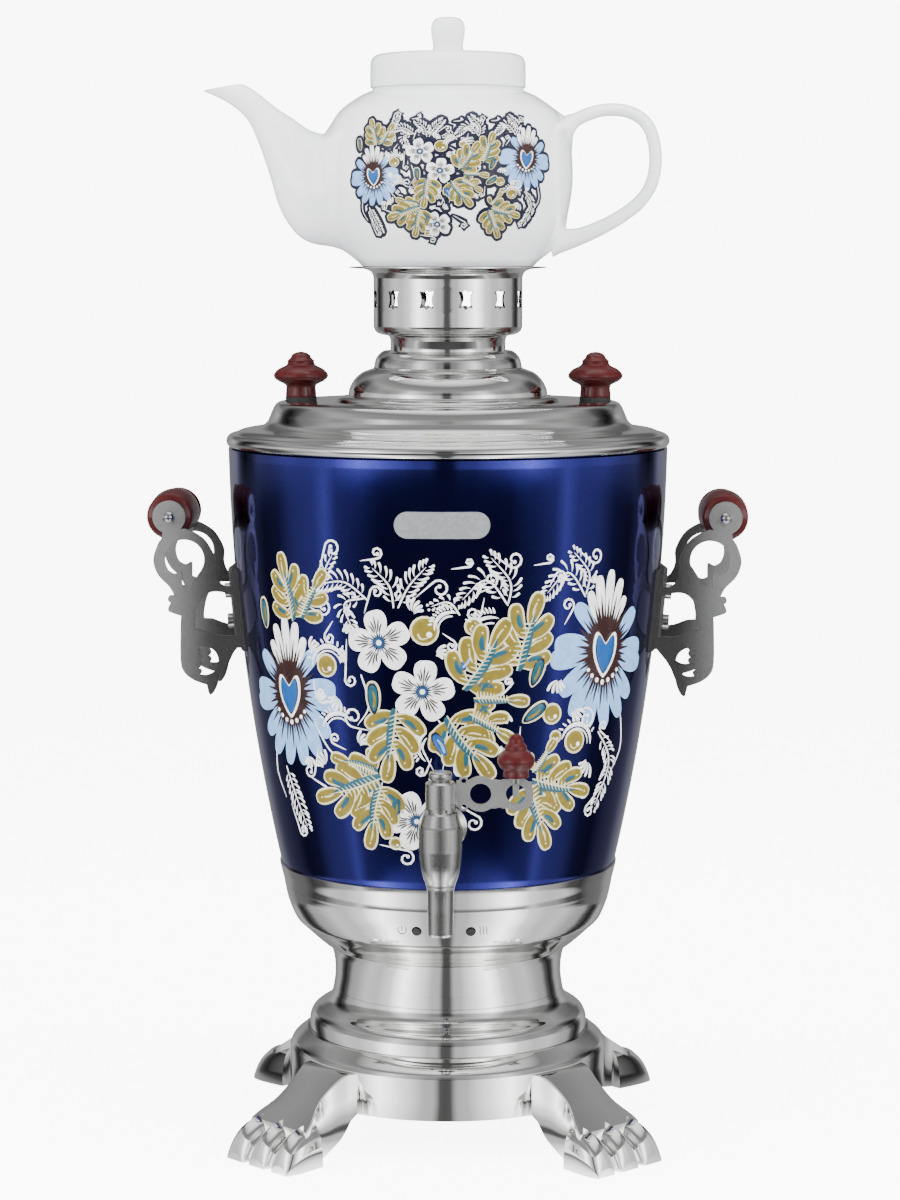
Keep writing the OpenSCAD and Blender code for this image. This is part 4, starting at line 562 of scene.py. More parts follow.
def crown_parts():
    """The cup's wall is twelve cells; in each, rings run from the pierced outline out to the cell's border.

    Above and below the cells the profile is turned as usual, on the same angles, so the seams close."""
    cells, k, m = 12, 16, 12
    low, high = PIERCING_Z - 6.6, PIERCING_Z + 6.6
    half = 180 / cells
    a, zz = np.linspace(-half, half, k + 1), np.linspace(low, high, m + 1)
    border = np.vstack([np.column_stack([a[:-1], np.full(k, low)]), np.column_stack([np.full(m, half), zz[:-1]]),
                        np.column_stack([a[:0:-1], np.full(k, high)]), np.column_stack([np.full(m, -half), zz[:0:-1]])])
    scale = CUP_R * np.pi / 180
    ways = np.arctan2(border[:, 1] - PIERCING_Z, border[:, 0] * scale)
    dense = (hide + (np.roll(hide, -1, 0) - hide) * (np.arange(6) / 6)[:, None, None]).reshape(-1, 2)
    length = np.interp(ways, np.arctan2(dense[:, 1], dense[:, 0]), np.hypot(*dense.T), period=2 * np.pi)
    edge = np.column_stack([length * np.cos(ways) / scale, PIERCING_Z + length * np.sin(ways)])
    f = np.array([0, 0.06, 0.25, 0.55, 1.0])[:, None, None]
    angle, z = np.moveaxis(edge * (1 - f) + border * f, -1, 0)
    walls = []
    for c in range(cells):
        t = np.radians(angle + (c + 0.5) * 360 / cells - 90)
        radii = (radius(cup, z) for cup in (cup_out, cup_in))
        outer, inner = (np.stack([r * np.cos(t), r * np.sin(t), z], -1) for r in radii)
        walls.append(skin(np.concatenate([outer[::-1], inner])))
    low_out, low_in = (line(p[p[:, 1] < low - 0.05], [radius(p, low), low]) for p in (cup_out, cup_in))
    high_out, high_in = (line([radius(p, high), high], p[p[:, 1] > high + 0.05]) for p in (cup_out, cup_in))
    rim = [[PLATE_R, CROWN_TOP - 0.5], [PLATE_R, CROWN_TOP], [CUP_R + 0.6, CROWN_TOP]]
    for profile in (line(low_in[::-1], low_out), line(high_out, rim, high_in[::-1])):
        walls.append(skin(lathe(profile, cells * k, -np.pi / 2)))
    return merged(walls)


piece("pierced_crown", crown_parts(), "crown", "polished_steel", "crown", 34)

# ---- Teapot ----

POT_R, POT_H, POT_WALL, POT_FOOT_R, POT_LID_R, MOUTH_R = 58.8, 83.5, 3.2, 40.5, 36.6, 30.6
POT_TOP = CROWN_TOP + POT_H
POT_IN = POT_R - POT_WALL
pot_out = spline([[POT_FOOT_R + 1.2, 1.4], [POT_FOOT_R + 8, 0.11 * POT_H],
                  *off(POT_R, 0, (-3.6, 0.24), (-0.5, 0.41), (0, 0.55), (-1.6, 0.73), (-7, 0.86), (-16, 0.945),
                       by=POT_H),
                  [POT_LID_R - 0.8, 0.985 * POT_H]], 12)
pot_in = spline([*off(POT_R, 0, (-17, 0.9), (-8.6, 0.82), by=POT_H),
                 *off(POT_IN, 0, (-1.4, 0.7), (0, 0.55), (-0.6, 0.41), (-4.2, 0.26), by=POT_H),
                 [POT_FOOT_R + 2.5, 0.11 * POT_H], [POT_FOOT_R - 6, 2.2 + POT_WALL]], 8)
pot_profile = line([0, 1.6], off(POT_FOOT_R, 0, (-6, 1.6), (-4, 0), (0, 0)), pot_out,
                   [[POT_LID_R - 1.2, POT_H], [MOUTH_R, POT_H], [MOUTH_R, 0.945 * POT_H]], pot_in, [0, 1.6 + POT_WALL])

# The spout's upper edge, lower edge and half width; the handle's middle line and its two half widths
spout_edges = spline([[-46, 58.5, -44, 9, 19], [-57, 60.4, -66, 11.5, 18], [-66, 64.5, -78, 24, 14.5],
                      [-74, 69.9, -84.6, 44, 11], [-81, 74.5, -89.5, 58, 8.8], [-88, 80, -95, 69.3, 7],
                      [-93, 83.6, -104.5, 77.2, 6], [-96.5, 85.4, -115.3, 82.2, 5.2]], 8)
handle_line = spline([[53, 63, 3.6, 6.4], [60, 68.6, 3.2, 5.6], [72, 73, 3, 5.2], [85, 72.4, 3, 5], [94, 66, 3, 5],
                      [97.6, 54, 3, 5], [96.6, 41, 3, 5], [91, 31, 3.1, 5], [80, 22.5, 3.3, 5.1], [68, 16.4, 3.7, 5.4],
                      [57, 12.4, 4.4, 6], [48, 10, 5.2, 6.8]], 8)


def ovals(middle, across, half, depth, sides):
    """Ovals round a line in the XZ plane: half across it in that plane, depth square to the plane."""
    t = np.arange(sides) * 2 * np.pi / sides
    a = half[:, None] * np.cos(t)
    return np.stack([middle[:, :1] + across[:, :1] * a, depth[:, None] * np.sin(t),
                     middle[:, 1:] + across[:, 1:] * a], -1)


def spout_rings(wall):
    """Ovals between the spout's upper and lower edge, drawn in by the wall."""
    up, low, b = spout_edges[:, 0:2], spout_edges[:, 2:4], spout_edges[:, 4]
    half = np.linalg.norm(up - low, axis=1) / 2
    return ovals((up + low) / 2, (up - low) / (2 * half[:, None]), half - wall, b - wall, 48)


def normals(g, away, rows=slice(None)):
    """Unit normals of a grid whose columns close, turned so that those of some rows point away on the whole."""
    n = np.cross(np.roll(g, -1, 1) - np.roll(g, 1, 1), np.gradient(g, axis=0))
    n /= np.maximum(np.linalg.norm(n, axis=-1, keepdims=True), 1e-9)
    return n * np.sign(np.einsum("ijk,ijk->", n[rows], away[rows]))


def nearest(points, cloud):
    """Distance of each point to the nearest of a cloud, in blocks."""
    return np.concatenate([np.sqrt(((points[k:k + 500, None] - cloud[None])**2).sum(-1)).min(1)
                           for k in range(0, len(points), 500)])


FILLET = 9.0


def fillet(d):
    """How far a surface moves out where another is d away: k/4 (1 - d/k)^2, the fillet of a smooth union."""
    return (FILLET / 4 * (np.maximum(FILLET - d, 0) / FILLET)**2)[..., None]


def swollen(g):
    """A spout or handle, thicker by the fillet where it meets the pot and kept from going far into it."""
    d = np.abs(np.hypot(g[..., 0], g[..., 1]) - radius(pot_out, g[..., 2]))
    g = g + normals(g, g - g.mean(1, keepdims=True)) * fillet(d)
    rad = np.hypot(g[..., 0], g[..., 1])
    g[..., :2] *= (np.maximum(rad, radius(pot_out, g[..., 2]) - 1.6) / np.maximum(rad, 1e-6))[..., None]
    return g


def teapot_parts():
    """Body, spout and handle, swollen where they meet."""
    profile = eased(pot_profile, 0.8, 5, closed=False)
    body = lathe(profile, 240)
    way = heading(handle_line[:, :2])
    spout = spout_rings(0.0)
    handle = ovals(handle_line[:, :2], np.column_stack([-way[:, 1], way[:, 0]]), *handle_line[:, 2:].T, 32)
    r, z = profile[:, :1], profile[:, 1:]
    outer = (np.arange(len(profile)) > 6)[:, None] & (z > 2) & (r > radius(pot_out, z) - 0.6) & (z < 0.97 * POT_H)
    third = len(body) // 3
    out = normals(body, body * [1, 1, 0], slice(third, third + 4))
    for cloud, side in ((spout, -1), (handle, 1)):
        near = outer & (body[..., 0] * side > 20) & (np.abs(body[..., 1]) < 36)
        body[near] += out[near] * fillet(nearest(body[near], cloud.reshape(-1, 3)))
    outer_spout, bore = swollen(spout), spout_rings(2.4)
    lip = (outer_spout[-1] + bore[-1]) / 2 + [-0.5, 0, 0.3]
    tube = np.concatenate([outer_spout, lip[None], bore[14:][::-1]])
    return [laid(p, (0, 0, CROWN_TOP)) for p in (outward(skin(body)), capped(tube), capped(swollen(handle)))]


piece("porcelain_pot", teapot_parts(), "teapot", "porcelain", "teapot", 50)

top = POT_TOP + 16
in_r = MOUTH_R - 0.4
pot_lid_profile = line(
    [[0, top - 3.4], [POT_LID_R - 12, top - 3.4], [POT_LID_R - 5, top - 4.4], [in_r - 2.6, top - 6.4],
     [in_r - 2.6, POT_TOP - 7], [in_r, POT_TOP - 7], [in_r, POT_TOP], [POT_LID_R, POT_TOP]],
    spline([*off(POT_LID_R, POT_TOP, (0, 4.8), (-0.2, 11.5), (-1.6, 14.4), (-5, 15.7)), [POT_LID_R - 12, top]], 10),
    spline(off(0, top, (11.4, 0.05), (8.4, 0.4), (7.2, 2.2), (7.1, 4.1), (7.7, 8.5), (7.9, 12.2), (6.6, 15.6),
               (3.6, 16.8), (0, 17)), 8))
piece("porcelain_pot_lid", turned(eased(pot_lid_profile, 0.7, 5, closed=False), 180, False), "teapot_lid", "porcelain",
      "teapot_lid", 50)

# ---- Handles and tap: turned wood and turned steel ----

GRIP_Z, GRIP_X, GRIP_L, GRIP_R = RIM_Z - 32, 131.0, 44.0, 11.8
half = GRIP_L / 2
grip_end = off(GRIP_R, -half, (-1.2, 0.8), (-1, 3), (-2.6, 5.5)) + [[GRIP_R - 1.2, -half * 0.62]]
grip_profile = line([[0, -half], [GRIP_R - 2.2, -half]], spline(
    grip_end + [[GRIP_R, 0]] + [[r, -z] for r, z in grip_end[::-1]]), [[GRIP_R - 2.2, half], [0, half]])
for side, name in SIDES:
    grip = laid(turned(grip_profile, 96, False), (side * GRIP_X, 0, GRIP_Z), LYING)
    piece("grip_" + name + "_turned", grip, "samovar", "turned_wood", "handle_grip_" + name, 40)

TAP_Y, SHANK_Z, BARREL_H, HEAD_H = 126.0, 161.1, 33, 13.4
LEVER_L, LOBE_R = 41.7, 7.5
HEAD_Z = SHANK_Z + 0.4 * BARREL_H + 0.4
LEVER_Z = HEAD_Z + 0.6 * HEAD_H
TIP_X = LEVER_L - LOBE_R - 0.9
r, h, stem = 8.4, 19.4, 5.7
tap_knob_profile = line(
    [[0, 0], [stem, 0], [stem, 0.06 * h]],
    spline([[stem * 0.97, 0.12 * h], [stem * 1.04, 0.17 * h], [r * 0.86, 0.23 * h], [r * 0.99, 0.35 * h],
            [r * 0.96, 0.46 * h], [r * 0.78, 0.57 * h], [r * 0.6, 0.63 * h]]),
    spline([[r * 0.58, 0.66 * h], [r * 0.56, 0.72 * h], [r * 0.42, 0.79 * h]]),
    spline([[r * 0.4, 0.82 * h], [r * 0.38, 0.88 * h], [r * 0.24, 0.97 * h], [0, h]]))
cap_profile = line([[0, 0], [4.2, 0], [4.2, 0.8], [5.2, 1.2], [5.2, 3.2]], arc((3.8, 3.2), 1.4, 0, 90, 10), [0, 4.6])
piece("tap_knob_turned", turned(eased(tap_knob_profile, 0.3, closed=False), 96, False, (TIP_X, -TAP_Y, LEVER_Z + 7.52)),
      "tap_valve", "turned_wood", "tap_knob", 40)
piece("tap_cap_turned", turned(eased(cap_profile, 0.25, closed=False), 96, False, (0, -TAP_Y, HEAD_Z + HEAD_H)),
      "tap_valve", "brushed_steel", "tap_cap", 40, OWN_LOOKS["tap_cap"])

# ---- Painted flowers ----
# Places are complex numbers in mm, across + up * i. A touch is (colour, path, width, start, end, layer).


def ray(r, degrees):
    """A point at a distance and a direction."""
    return r * np.exp(1j * np.radians(degrees))


def dab(colour, path, width, start, end, layer):
    """One stroke of the brush; start and end say how slowly it swells and runs out."""
    return [(colour, np.asarray(path, complex), width, start, end, layer)]


def spot(colour, centre, r, layer, n=18):
    """A round spot."""
    t = np.arange(n) * 2 * np.pi / n
    return [(colour, centre + (r * np.cos(t) + 1j * r * np.sin(t)), 0, 0, 0, layer)]


def moved(touches, to, turn=0, size=1.0, mirror=False):
    """The touches scaled, turned, moved and, if asked, mirrored."""
    way = size * ray(1, turn)
    return [(c, to + way * (-np.conj(p) if mirror else p), w * size, a, b, k) for c, p, w, a, b, k in touches]


def edged(colour, path, width, layer, start=0.7, end=0.38, edge=0.75):
    """A stroke on a wider one in cream."""
    p = np.asarray(path, complex)
    long = p.copy()
    long[0] -= edge * 0.6 * np.exp(1j * np.angle(p[1] - p[0]))
    long[-1] += edge * np.exp(1j * np.angle(p[-1] - p[-2]))
    return dab("cream", long, width + 2 * edge, start, end, layer) + dab(colour, p, width, start, end, layer + 1)


def white_flower():
    """Five broad petals, each with a fan of dark veins, round a blue eye with a white dot."""
    t = []
    for k in range(5):
        d = 90 + 72 * k + (0, 3, -3, 2, -2)[k]
        t += dab("white", [ray(1.5, d), ray(8, d - 3), ray(15, d)], 11.2, 0.62, 0.36, 2)
        for v in range(-24, 25, 12):
            vein = [ray(4.6, d + 0.6 * v), ray(8, d + 0.75 * v), ray(12.6 - abs(v) / 7, d + 0.95 * v)]
            t += dab("brown", vein, 0.8, 0.6, 0.6, 4)
    for k in range(20):
        t += dab(("blue", "navy")[k % 2], [ray(0.8, 18 * k), ray(4.4 + 0.9 * (k % 3), 18 * k)], 1.1, 0.1, 0.7, 5)
    return t + spot("blue", 0, 2.6, layer=6) + spot("white", 0, 1.35, layer=7)


def heart(rx, ry):
    """The outline x = sin^1.4 t, y = (13 cos t - 5 cos 2t - 2 cos 3t - cos 4t) / 16, stretched upright."""
    t = np.arange(36) * 2 * np.pi / 36
    up = 13 * np.cos(t) - 5 * np.cos(2 * t) - 2 * np.cos(3 * t) - np.cos(4 * t)
    return rx * np.sin(t) * np.abs(np.sin(t))**0.4 + 1j * ry * up / 16


GREAT_PETALS = ((176, 29, 11), (190, 31, 11), (-10, 31, 11), (4, 29, 11), (138, 28, 8.5), (46, 28, 8.5), (222, 31, 9.5),
                (242, 34, 9), (262, 35, 8.5), (281, 35, 8.5), (300, 34, 9), (320, 31, 9))


def great_flower():
    """Pale blue petals and a crown of white ones, a dark burst, and a heart ringed in white over a row of dots."""
    t = []
    for d, r, w in GREAT_PETALS:
        t += dab("pale", [ray(6, d), ray(r * 0.6, d + 3), ray(r, d)], w, 0.62, 0.36, 1 + (d % 4 == 0))
    for d, r, w in ((116, 27, 4.6), (104, 33, 5.4), (91, 36, 5.6), (78, 34, 5.6), (65, 29, 5)):
        t += dab("white", [ray(12, d), ray(r * 0.65, d - 1), ray(r, d)], w, 0.8, 0.34, 3)
    for k in range(60):
        d = 6 * k
        r = 13.5 + 8.5 * abs(math.sin(math.radians(d)))**2 + (0, 4.4, -2.6, 2.2)[k % 4]
        t += dab("brown", [ray(3, d), ray(r, d)], 2.5, 0.15, 0.8, 4)
    t += [("white", heart(8.3, 11.9), 0, 0, 0, 6), ("navy", heart(6.7, 10.2) - 0.1j, 0, 0, 0, 7),
          ("bright", heart(6.1, 9.5) - 0.1j, 0, 0, 0, 8)]
    for k in range(-3, 4):
        t += spot("white", ray(15 - abs(k) * 0.5, 270 + 15 * k) + 1j, 1.0 + 0.1 * (3 - abs(k)), layer=6, n=12)
    return t


def leaf(length, pairs, bend):
    """A golden leaf: rimmed lobes fan from its rib, each on the one before; one side of the rib is hatched."""
    t = []
    rib = lambda f: ray(length * f, 90 + bend * f)
    for k in range(2 * pairs + 1):
        f, side = 0.08 + 0.5 * (k // 2) / pairs, (k % 2 * 2 - 1) * (k < 2 * pairs)
        d = 90 + bend * (0.4 + f) + side * (60 - 38 * (k // 2) / pairs)
        r = length * (0.44 if side else 0.42)
        tip = rib(f) + ray(r, d)
        lobe = [rib(f), (rib(f) + tip) / 2 + ray(0.04 * length, d + side * 90), tip]
        t += edged("gold", lobe, length * (0.2 if pairs < 3 else 0.18), 2 + 0.7 * k)
        t += spot("cream", rib(f) + ray(0.8 * r, d), 0.5, layer=3.7 + 0.7 * k, n=8)
        colour, width = ("teal", 0.07) if side and k // 2 % 2 == 0 else ("cream", 0.025)
        t += dab(colour, [rib(f) + ray(0.3 * r, d), rib(f) + ray(0.5 * r, d + 4), rib(f) + ray(0.74 * r, d)],
                 length * width, 0.4, 0.5, 3.7 + 0.7 * k)
    top = 4 + 1.4 * pairs
    turn = bend + 14
    t += dab("teal", [rib(0) + ray(1, turn), rib(0.4) + ray(length * 0.045, turn), rib(0.75)], length * 0.12,
             0.3, 0.6, top)
    for k in range(10):
        c, half = rib(0.08 + 0.058 * k), length * 0.13 * (1 - 0.045 * k)
        t += dab("cream", [c, c - ray(half, turn)], 0.95, 0.1, 0.6, top + 1)
        t += dab("cream", [c, c + ray(0.8 * half, turn + 20)], 0.5, 0.1, 0.6, top + 1)
    return t + dab("cream", [rib(0), rib(0.4), rib(0.8)], 0.8, 0.2, 0.6, top + 1)


def berry(r):
    """A golden berry in a light ring, with a highlight."""
    return (spot("cream", 0, r + 0.9, layer=2) + spot("gold", 0, r, layer=3)
            + spot("white", 0.36 * r - 0.3j * r, 0.24 * r, layer=5, n=12)
            + dab("cream", [ray(0.55 * r, 200), ray(0.7 * r, 250), ray(0.6 * r, 300)], 0.16 * r, 0.2, 0.4, 5))


def drop(length, stripe):
    """A tapered drop: a light rim, a dark line, the colour, and a golden fleck."""
    path = [-0.5j * length, 0, 0.5j * length]
    t = edged("navy", path, length * 0.42, 2, 0.6, 0.42, 0.8)
    t += dab(stripe, [-0.4j * length, 0, 0.42j * length], length * 0.33, 0.6, 0.42, 5)
    fleck = [-0.3j * length, 0.05 * length, 0.25j * length]
    return t + dab("gold" if stripe == "teal" else "pale", fleck, length * 0.1, 0.3, 0.5, 6)


def fern(path, reach, lean=60):
    """A curved stem with a comb of short strokes on both sides, longest in its middle."""
    p = np.asarray(path, complex)
    q = spline(np.column_stack([p.real, p.imag]), 12)
    q = q[:, 0] + 1j * q[:, 1]
    way = np.degrees(np.angle(np.gradient(q)))
    n = int(np.abs(np.diff(q)).sum() / 3.1) + 2
    t = dab("white", p, 0.9, 0.15, 0.5, 3)
    for k in range(n):
        s = 0.2 + 0.8 * k / (n - 1)
        i = int(s * (len(q) - 1))
        r = reach * math.sin(math.pi * (0.1 + 0.74 * s))**0.8
        for side in (-1, 1):
            d = way[i] + side * (lean - 18 * s)
            tooth = [q[i] + ray(1.0, d), q[i] + ray(r * 0.55, d + side * 5), q[i] + ray(r, d - side * 6)]
            t += dab("white", tooth, 1.25, 0.9, 0.22, 3)
    return t


def curl(start, centre, r, hand, turns=1.15, width=1.1):
    """A line that winds inwards from its start and ends in a ball."""
    first = math.degrees(np.angle(start - centre))
    ring = [centre + ray(r * (1 - 0.72 * f), first + hand * (50 + 360 * turns * f)) for f in np.linspace(0, 1, 14)]
    return dab("white", [start] + ring, width, 0.5, 0.25, 3) + spot("white", ring[-1], 0.85 * width, layer=3, n=10)


def comb(centre, r, a, b, width, teeth=9):
    """A crescent, a thin line inside it, and a row of teeth outside."""
    arc_at = lambda k, u: [centre + ray(r * k, d) for d in np.linspace(u, b, 7)]
    t = dab("white", arc_at(1, a), width, 0.7, 0.7, 3)
    t += dab("white", arc_at(0.76, a + 0.1 * (b - a)), 0.9, 0.3, 0.6, 3)
    for d in np.linspace(a + 0.15 * (b - a), b - 0.2 * (b - a), teeth):
        t += dab("white", [centre + ray(r * 1.16, d), centre + ray(r * 1.42, d + 5)], 1.0, 0.2, 0.4, 3)
    return t


def tuft(at, way, r, n, hand):
    """A fan of curved commas that grow longer towards one side, thick at their tips."""
    t = []
    for k in range(n):
        d = way + hand * (k - n / 2) * 19
        far = r * (0.62 + 0.38 * k / n)
        comma = [at + ray(0.22 * far, d), at + ray(0.6 * far, d + hand * 9), at + ray(far, d - hand * 2)]
        t += dab("white", comma, 1.5, 0.9, 0.3, 3)
    return t


# Foot, direction, length, pairs of lobes, bend
LEAVES = ((-76+28j, 100, 32, 3, 6), (-71+30j, 66, 27, 2, -12), (34+8j, 78, 37, 3, -8), (9+0j, 50, 38, 3, 8),
    (14-4j, 2, 26, 1, -10), (2-12j, -62, 36, 3, 10), (12-11j, -26, 25, 2, -10), (-21-9j, -94, 35, 3, -6),
    (-30-40j, 158, 25, 1, 10), (-28-42j, 206, 38, 3, -8), (-28-44j, 252, 33, 3, 8), (42-40j, 44, 19, 1, 10),
    (42-43j, -22, 34, 3, 8), (40-45j, -68, 34, 3, -6))
# Middle, turn, length, colour
DROPS = ((-98+30j, 10, 14, "teal"), (-32-5j, 4, 15, "teal"), (11+13j, -34, 12, "bright"), (44+7j, -22, 14, "teal"),
    (43-12j, -56, 14, "teal"), (-1-26j, 28, 14, "bright"), (-22-57j, -14, 14, "teal"))
# Middle, radius
BERRIES = ((-8+27j, 6.0), (-56+9j, 4.8), (52-13j, 4.3), (65-27j, 5.2), (14+29j, 3.4), (54-24j, 2.4), (-22-73j, 2.4))
# Stem, reach of its strokes
FERNS = (((-34+40j, -46+48j, -60+46j), 7), ((-36+41j, -46+38j, -42+27j), 6), ((-56+46j, -56+53j, -52+60j), 5),
    ((-22+37j, -24+47j, -32+55j), 7), ((-20+37j, -15+47j, -7+56j), 7), ((30+38j, 20+50j, 9+41j), 7),
    ((30+39j, 31+49j, 22+60j), 7), ((70+40j, 60+52j, 49+43j), 7), ((70+41j, 72+51j, 63+61j), 6),
    ((-86-42j, -80-55j, -72-70j), 7), ((80-24j, 90-40j, 80-60j), 7), ((8+34j, 3+40j, -5+38j), 4))
# Start, middle, radius, hand
CURLS = ((-60+50j, -52+63j, 4.4, -1), (-38+58j, -30+62j, 3.0, 1), (-12+42j, -1+46j, 4.4, -1), (4+55j, 12+58j, 2.2, 1),
    (22+62j, 33+59j, 4.2, 1), (42+56j, 50+59j, 2.4, 1), (64+63j, 76+59j, 4.2, 1), (-66+36j, -57+36j, 4.0, 1),
    (-45+22j, -43+3j, 3.4, 1), (-34-20j, -42-14j, 5.0, -1), (-84-60j, -75-72j, 3.6, 1), (4-52j, 14-63j, 4.2, -1),
    (-30-74j, -17-80j, 4.2, -1), (-70-44j, -60-52j, 4.0, -1), (-36+34j, -30+44j, 3.2, -1), (16+44j, 22+50j, 3.4, 1),
    (50+46j, 56+50j, 3.2, -1), (-64+2j, -60-4j, 3.0, 1), (36-18j, 32-28j, 3.4, -1), (-52+30j, -54+22j, 3.2, 1),
    (90-30j, 84-22j, 3.2, -1), (-44-44j, -50-36j, 3.0, 1), (64-46j, 72-52j, 3.6, 1), (0+26j, 4+20j, 2.8, -1),
    (58+28j, 60+37j, 3.6, 1), (19+42j, 14+35j, 3.6, -1), (-5-32j, -10-38j, 2.8, -1), (5-32j, 8-38j, 2.8, 1),
    (86-50j, 76-62j, 3.4, 1), (62-14j, 72-17j, 5.4, -1), (26-4j, 30+3j, 2.4, 1), (-62-30j, -68-42j, 3.6, -1),
    (28+30j, 24+22j, 3.0, -1), (-46-30j, -52-25j, 3.0, -1))
# Middle, radius, from, to, width
COMBS = ((-55+9j, 9.0, 190, 10, 2.2), (-50-22j, 9, 40, 170, 2.2), (66-28j, 9.0, 165, -10, 2.2),
    (4+28j, 7.5, 70, 190, 1.8), (-3-27j, 8, 120, 235, 1.6), (22+22j, 11, 70, 150, 1.6))
# Foot, direction, reach, strokes, hand
TUFTS = ((-66+14j, 60, 9, 4, 1), (-64-8j, 20, 10, 4, -1), (-50-4j, 250, 10, 5, 1), (-44+12j, 150, 8, 4, -1),
    (-40-28j, 60, 9, 4, 1), (-58-40j, 120, 10, 5, -1), (-14+34j, 70, 10, 5, 1), (20+16j, 110, 9, 4, 1),
    (26-10j, 300, 9, 4, 1), (56+4j, 250, 10, 5, -1), (62-12j, 330, 10, 4, 1), (74-36j, 250, 11, 5, 1),
    (50+22j, 150, 8, 4, 1), (28-26j, 250, 8, 4, 1), (-24-28j, 330, 9, 5, 1), (-70-34j, 300, 9, 4, 1),
    (22-36j, 170, 8, 4, -1), (-6-46j, 60, 9, 4, 1), (-4+16j, 20, 8, 4, 1), (78+46j, 150, 7, 3, 1),
    (56-62j, 200, 7, 3, 1), (-46+30j, 300, 8, 4, 1))
# Thin lines
STEMS = ((-94-34j, -95-46j, -88-58j), (98-18j, 100-34j, 91-46j), (-12-18j, -9-28j, -4-38j), (-2-14j, 2-22j, 0-38j),
    (-64-18j, -54-32j, -36-40j), (30+32j, 26+14j, 12+2j), (-38+6j, -34-8j, -40-18j))


def bouquet():
    """The whole painting, laid out round the middle of the tank's front."""
    t = []
    for draw, rows in ((fern, FERNS), (curl, CURLS), (comb, COMBS), (tuft, TUFTS)):
        for row in rows:
            t += draw(*row)
    for path in STEMS:
        t += dab("white", path, 0.9, 0.2, 0.5, 2)
    for at, way, length, pairs, bend in LEAVES:
        t += moved(leaf(length, pairs, bend), at, way - 90)
    for at, turn, length, stripe in DROPS:
        t += moved(drop(length, stripe), at, turn)
    for at, r in BERRIES:
        t += moved(berry(r), at)
    t += moved(great_flower(), -80 - 6j, 3)
    t += moved(great_flower(), 83 + 14j, -5, 1.05, True)
    for at, turn, size in ((-29 + 21j, 12, 1.0), (-9 - 1j, -6, 0.97), (-12 - 62j, 22, 0.95)):
        t += moved(white_flower(), at, turn, size)
    return t


SUNK = -0.06  # the rim of every touch lies this far under the ground


def brushed(path, width, start, end, lift, edge=0.0):
    """A domed ribbon along a path, its rim a little under the ground; stations crowd towards both ends."""
    p = np.column_stack([path.real, path.imag])
    if edge:
        a, b = p[0] - p[1], p[-1] - p[-2]
        p = np.vstack([p[:1] + edge * a / np.linalg.norm(a), p, p[-1:] + edge * b / np.linalg.norm(b)])
    q = spline(p, 6) if len(p) > 2 else p[0] + (p[1] - p[0]) * np.linspace(0, 1, 5)[:, None]
    run = np.r_[0, np.cumsum(np.linalg.norm(np.diff(q, axis=0), axis=1))]
    n = int(np.clip(run[-1] / 1.4, 5, 60)) + 3
    s = (1 - np.cos(np.linspace(0, np.pi, n))) / 2
    w = s**start * (1 - s)**end
    w = w / w.max() * width / 2
    mid = np.interp(s * run[-1], run, q[:, 0]) + 1j * np.interp(s * run[-1], run, q[:, 1])
    way = np.gradient(mid)
    u = np.r_[-1, np.linspace(-0.88, 0.88, 2 * max(1, round(width / 3.2)) + 1), 1]
    plan = mid[:, None] + (1j * way / np.maximum(np.abs(way), 1e-9) * w)[:, None] * u
    high = np.full(plan.shape, lift)
    high[:, [0, -1]] = high[[0, -1]] = SUNK
    return plan, high


def rounded(outline, lift, edge=0.0):
    """A domed spot: rings drawn in towards its middle, above and just under the ground."""
    c = outline.mean()
    v = outline - c
    v = v * (1 + edge / np.abs(v))
    f = np.array([0, 0.3, 0.6, 0.94, 1, 0])
    high = np.repeat(np.array([lift, lift, lift, lift, SUNK, SUNK])[:, None], len(v), 1)
    return c + v * f[:, None], high


# Enamel paints: the colour varies a little with the brush, under the glaze
PAINT = {name: speckled("paint_" + name, colour, 0.34, 0.0, 260.0, 0.05, 0.35, 0.00003).material for name, colour in {
    "white": (0.88, 0.88, 0.87), "cream": (0.64, 0.60, 0.36), "pale": (0.22, 0.41, 0.74), "gold": (0.19, 0.14, 0.010),
    "teal": (0.004, 0.075, 0.115), "blue": (0.004, 0.045, 0.13), "bright": (0.001, 0.07, 0.27),
    "brown": (0.022, 0.004, 0.003), "navy": (0.002, 0.003, 0.018), "grey": (0.09, 0.09, 0.09)}.items()}


def painted(name, touches, side, ground, body, slot, size=1.0, at=0j, halo=0.0, step=0.03, flat=1.0):
    """Lays the touches on a surface of revolution, each layer a little higher: across is the arc at that height."""
    parts = {}

    def lay(colour, plan, high):
        a, z = plan.real, plan.imag
        lean = side(z + 0.5) - side(z - 0.5)
        norm = np.sqrt(1 + lean**2)
        t = a / side(z)
        out = side(z) + high / norm
        g = np.stack([out * np.sin(t), -out * np.cos(t), z - high * lean / norm + ground], -1)
        parts.setdefault(colour, []).append(outward(skin(g)))

    for colour, path, width, start, end, layer in moved(touches, at, 0, size):
        lift = 0.06 + step * layer
        path = path.real + 1j * (at.imag + flat * (path.imag - at.imag))
        outline = width == 0
        if halo and colour in ("white", "cream", "pale"):
            lay("navy", *(rounded(path, 0.045, halo) if outline else
                          brushed(path, width + 2 * halo, min(start, 0.4), min(end, 0.4), 0.045, 0.8 * halo)))
        lay(colour, *(rounded(path, lift) if outline else brushed(path, width, start, end, lift)))
    for colour, group in parts.items():
        piece(name + "_" + colour, group, body, slot, crease=75, look=PAINT[colour])


